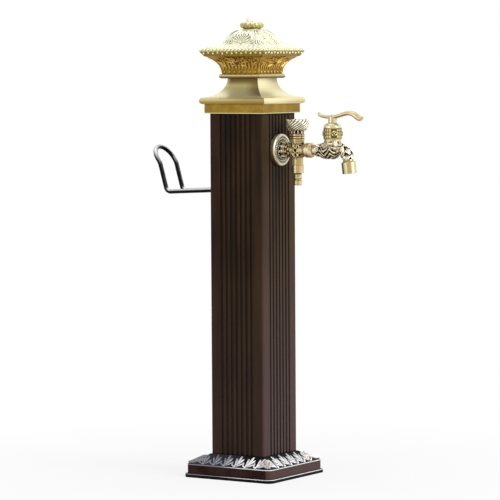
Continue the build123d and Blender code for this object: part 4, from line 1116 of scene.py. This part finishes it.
tap_ground = Ground("tap_body")
tap_ornament = Casting("tap_ornament")


def waves(turn, out):
    """Fine ridges that run along the arm in waves and twist a little round it."""
    swing = 0.65 * sin(2 * pi * out / 24 + 0.7) + 0.12 * sin(2 * pi * (out / 9 + turn * 2))
    return ridges(12 * turn + swing) ** 2.6


round_the_arm(tap_ornament, tap_ground, 81.0, 121.0, 1.5, waves, 256, 100, 13.6)


def column_skin(turn, share):
    """Swirling leaves round the valve column, which flares from its foot."""
    level = arm_level + 15.6 * inner(share, 0.05)
    if at_end(share):
        return round_column(tap_valve, turn, 3.0, level), 0.0
    carved = ridges(7 * turn + 0.04 * level) ** 0.6 * (0.55 + 0.45 * ridges(28 * turn + 0.25 * level))
    flare = 4.0 * max(1 - 3 * share, 0) ** 2
    return round_column(tap_valve, turn, 14.0 - flare + 1.1 * carved, level), carved


tap_ornament.wrap(224, 24, column_skin)
tap_ornament.finish(carved_bronze, "aged_bronze")

# Tap body: overlapping leaves down the spout, with leaves and scrolls on both sides of the tap

spout_ornament = Casting("spout_ornament")
spout_points = [on_arm(109, 0, 2.5), on_arm(127, 0, 6.5), on_arm(139.2, 0, -1), on_arm(140.3, 0, -15.5)]
spout_place = along(spout_points, (1, 0, 0), 1.0)


def tips(turn, run, lobes):
    """Rows of overlapping leaves that rise to their tips. The run counts rows, each half a leaf on."""
    rows = range(int(run) - 1, int(run) + 3)
    edges = [number + 0.32 * cos(2 * pi * (lobes * turn + number / 2)) for number in rows]
    first = max(edge for edge in edges if edge <= run)
    last = min(edge for edge in edges if edge > run)
    return (run - first) / (last - first) * min((last - run) * 13, 1)


def spout_skin(turn, share):
    """Overlapping ribbed leaves down the spout."""
    angle = 2 * pi * turn
    carved = tips(turn, 4.6 * share + 0.4, 5) ** 0.7 * (0.62 + 0.38 * ridges(20 * turn + 0.6 * share))
    carved = 0.0 if at_end(share) else carved
    reach = 0.0 if at_end(share) else 9.2 + 1.7 * carved
    corner = Vector((reach * sin(angle), min(max(share, 0.01), 0.985), reach * cos(angle)))
    return spout_place(corner), carved


spout_ornament.wrap(220, 150, spout_skin)
scroll = volute(4.6, 1.6, 1.6)
small_scroll = volute(3.2, 1.3, 1.3)
small_scroll_other = volute(3.2, 1.3, 1.3, -1)
broad_leaf = leaf(17, 9, 4, 0.4, 2.6)
small_leaf = leaf(11, 7, 2, 0.35, 2.4)
tap_relief = (
    (scroll, 83.5, 573.0, 2.6, 1.0, 1.8),
    (small_scroll_other, 104.0, 578.5, 1.0, 1.1, 2.2),
    (broad_leaf, 88.0, 577.0, -1.25, 0.9, 1.6),
    (broad_leaf, 107.0, 584.0, -2.0, 1.0, 1.6),
    (broad_leaf, 112.0, 580.0, -1.9, 1.05, 1.6),
    (broad_leaf, 118.5, 581.5, -1.55, 1.0, 1.6),
    (small_leaf, 124.0, 572.5, -1.2, 1.1, 1.6),
    (small_leaf, 130.0, 577.0, -2.1, 1.1, 1.6),
    (small_leaf, 136.5, 572.5, -2.7, 1.1, 1.6),
    (small_leaf, 133.0, 565.0, -2.5, 1.0, 1.6),
    (small_scroll, 137.5, 558.5, 1.0, 1.0, 1.8),
)
for side in sides:
    mirror = Matrix.Diagonal((side, 1, 1, 1))
    for shape, out, level, turn, size, lift in tap_relief:
        spot = (side * 5, -post_face - out, level)
        place = tap_ground.board(spot, up, (side, 0, 0), mirror @ sized(size, (0, 0, lift), turn))
        spout_ornament.stamp(shape, place)
spout_ornament.finish(carved_pale, "aged_bronze")

# Tap bonnet: band of small blocks with square medallions that hold a four-petalled flower

bonnet_ornament = Casting("bonnet_ornament")
bonnet_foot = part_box("tap_bonnet")[0].z / mm
medallion = flower(4, 5.6, 2.2)
medallion_count = 4
medallion_turn = 4.3 / 360


def bonnet_skin(turn, share):
    """Rows of small blocks, with a raised frame round the plain field of each medallion."""
    level = 2.6 + 16.4 * inner(share, 0.05)
    aside = abs((turn * medallion_count) % 1 - 0.5) * 2 * pi * 15.0 / medallion_count
    block = min(ridges((level - 2.6) / 5.45) * 1.5, 1) * min(ridges(22 * turn) * 1.6, 1)
    if aside < 5.8:
        block = 0.0 if aside < 4.9 else 1.0
    reach = 3.0 if at_end(share) else 15.6 + 0.5 * block
    wear_and_light = 0.0 if at_end(share) else max(block, 0.43 if aside < 4.9 else 0.0)
    return round_column(tap_valve, turn - medallion_turn, reach, bonnet_foot + level), wear_and_light


bonnet_ornament.wrap(336, 40, bonnet_skin)
for number in range(medallion_count):
    turn = (number + 0.5) / medallion_count - medallion_turn
    centre = round_column(tap_valve, turn, 15.5, bonnet_foot + 10.8)
    out = Vector((sin(2 * pi * turn), -cos(2 * pi * turn), 0))
    flat = Matrix((up.cross(out), up, out)).transposed().to_4x4()
    bonnet_ornament.stamp(medallion, Matrix.Translation(centre) @ flat @ sized(1, turn=pi / 4))
bonnet_ring = turned_ring([(14.0, -0.9), (15.6, -0.9), (16.2, 0), (15.6, 0.9), (14.0, 0.9)])
for level in (1.8, 19.8):
    place = Matrix.Translation((0, -post_face - tap_valve, bonnet_foot + level))
    bonnet_ornament.stamp(bonnet_ring, place, 0.8)
bonnet_ornament.finish(carved_olive, "aged_bronze")

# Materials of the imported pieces

slot_of = {entry["node"]: entry["material_slot"] for entry in frame["record"]["subparts"]}
for name, piece in nodes.items():
    finish = by_node.get(name) or by_slot[slot_of[name]]
    if not piece.material_slots:
        piece.data.materials.append(finish)
    for holder in piece.material_slots:
        holder.link = "OBJECT"
        holder.material = finish

# Floor, room, light and camera


def floor_finish():
    """Pale floor that reads as the white background away from the shadow."""
    material = bpy.data.materials.new("pale_floor")
    graph = Graph(material, "ShaderNodeOutputMaterial")
    reach = graph.vector("LENGTH", graph.spot(), result=1)
    fade = graph.node("ShaderNodeMapRange", {}, reach, 0.15, 0.8, 0.82, 1.0)
    share = fade * graph.seen_by("Is Camera Ray", "Is Glossy Ray")
    matt = graph.node("ShaderNodeBsdfDiffuse", {}, (0.9, 0.9, 0.9, 1))
    glow = graph.node("ShaderNodeEmission", {})
    graph.feed(graph.output.inputs[0], graph.node("ShaderNodeMixShader", {}, share, matt, glow))
    return material


disc = bmesh.new()
bmesh.ops.create_circle(disc, cap_ends=True, segments=96, radius=14)
floor_mesh = kept(disc)
floor_mesh.materials.append(floor_finish())
placed("floor", floor_mesh)

world = bpy.data.worlds.new("studio")
bpy.context.scene.world = world
studio = Graph(world, "ShaderNodeOutputWorld")
direct = studio.seen_by("Is Camera Ray", "Is Glossy Ray", "Is Transmission Ray")
room = studio.node("ShaderNodeBackground", {}, (1, 1, 1, 1), 0.38)
backdrop = studio.node("ShaderNodeBackground", {}, (1, 1, 1, 1), 1.0)
mixed = studio.node("ShaderNodeMixShader", {}, direct, room, backdrop)
studio.feed(studio.output.inputs[0], mixed)


def softbox(name, place, aim, size, power):
    lamp = bpy.data.lights.new(name, "AREA")
    lamp.shape = "RECTANGLE"
    lamp.size, lamp.size_y = size
    lamp.energy = power
    holder = placed(name, lamp)
    holder.location = place
    holder.rotation_euler = (Vector(aim) - Vector(place)).to_track_quat("-Z", "Y").to_euler()


softbox("key_softbox", (0.1, -3.3, 2.0), (0, 0, 0.5), (1.8, 1.8), 84)
softbox("side_softbox", (-3.3, 0.9, 1.6), (0, 0, 0.4), (1.0, 2.0), 14)
softbox("top_softbox", (0.3, 0.3, 2.8), (0, 0, 0.4), (1.6, 1.6), 10)

camera_data = bpy.data.cameras.new("camera")
camera_data.lens = 213.528
camera_data.sensor_width = 36
camera_data.clip_end = 100
camera = placed("camera", camera_data)
turn, pitch, roll = radians(-57.234), radians(3.691), radians(-0.332)
back = Vector((sin(turn) * cos(pitch), -cos(turn) * cos(pitch), sin(pitch)))
right = Vector((cos(turn), sin(turn), 0))
over = back.cross(right)
level_right = right * cos(roll) + over * sin(roll)
level_up = over * cos(roll) - right * sin(roll)
axes = Matrix((level_right, level_up, back)).transposed().to_4x4()
camera.matrix_world = Matrix.Translation((-4.35376, -2.79548, 0.72853)) @ axes
bpy.context.scene.camera = camera
bpy.context.scene.view_settings.view_transform = "Standard"
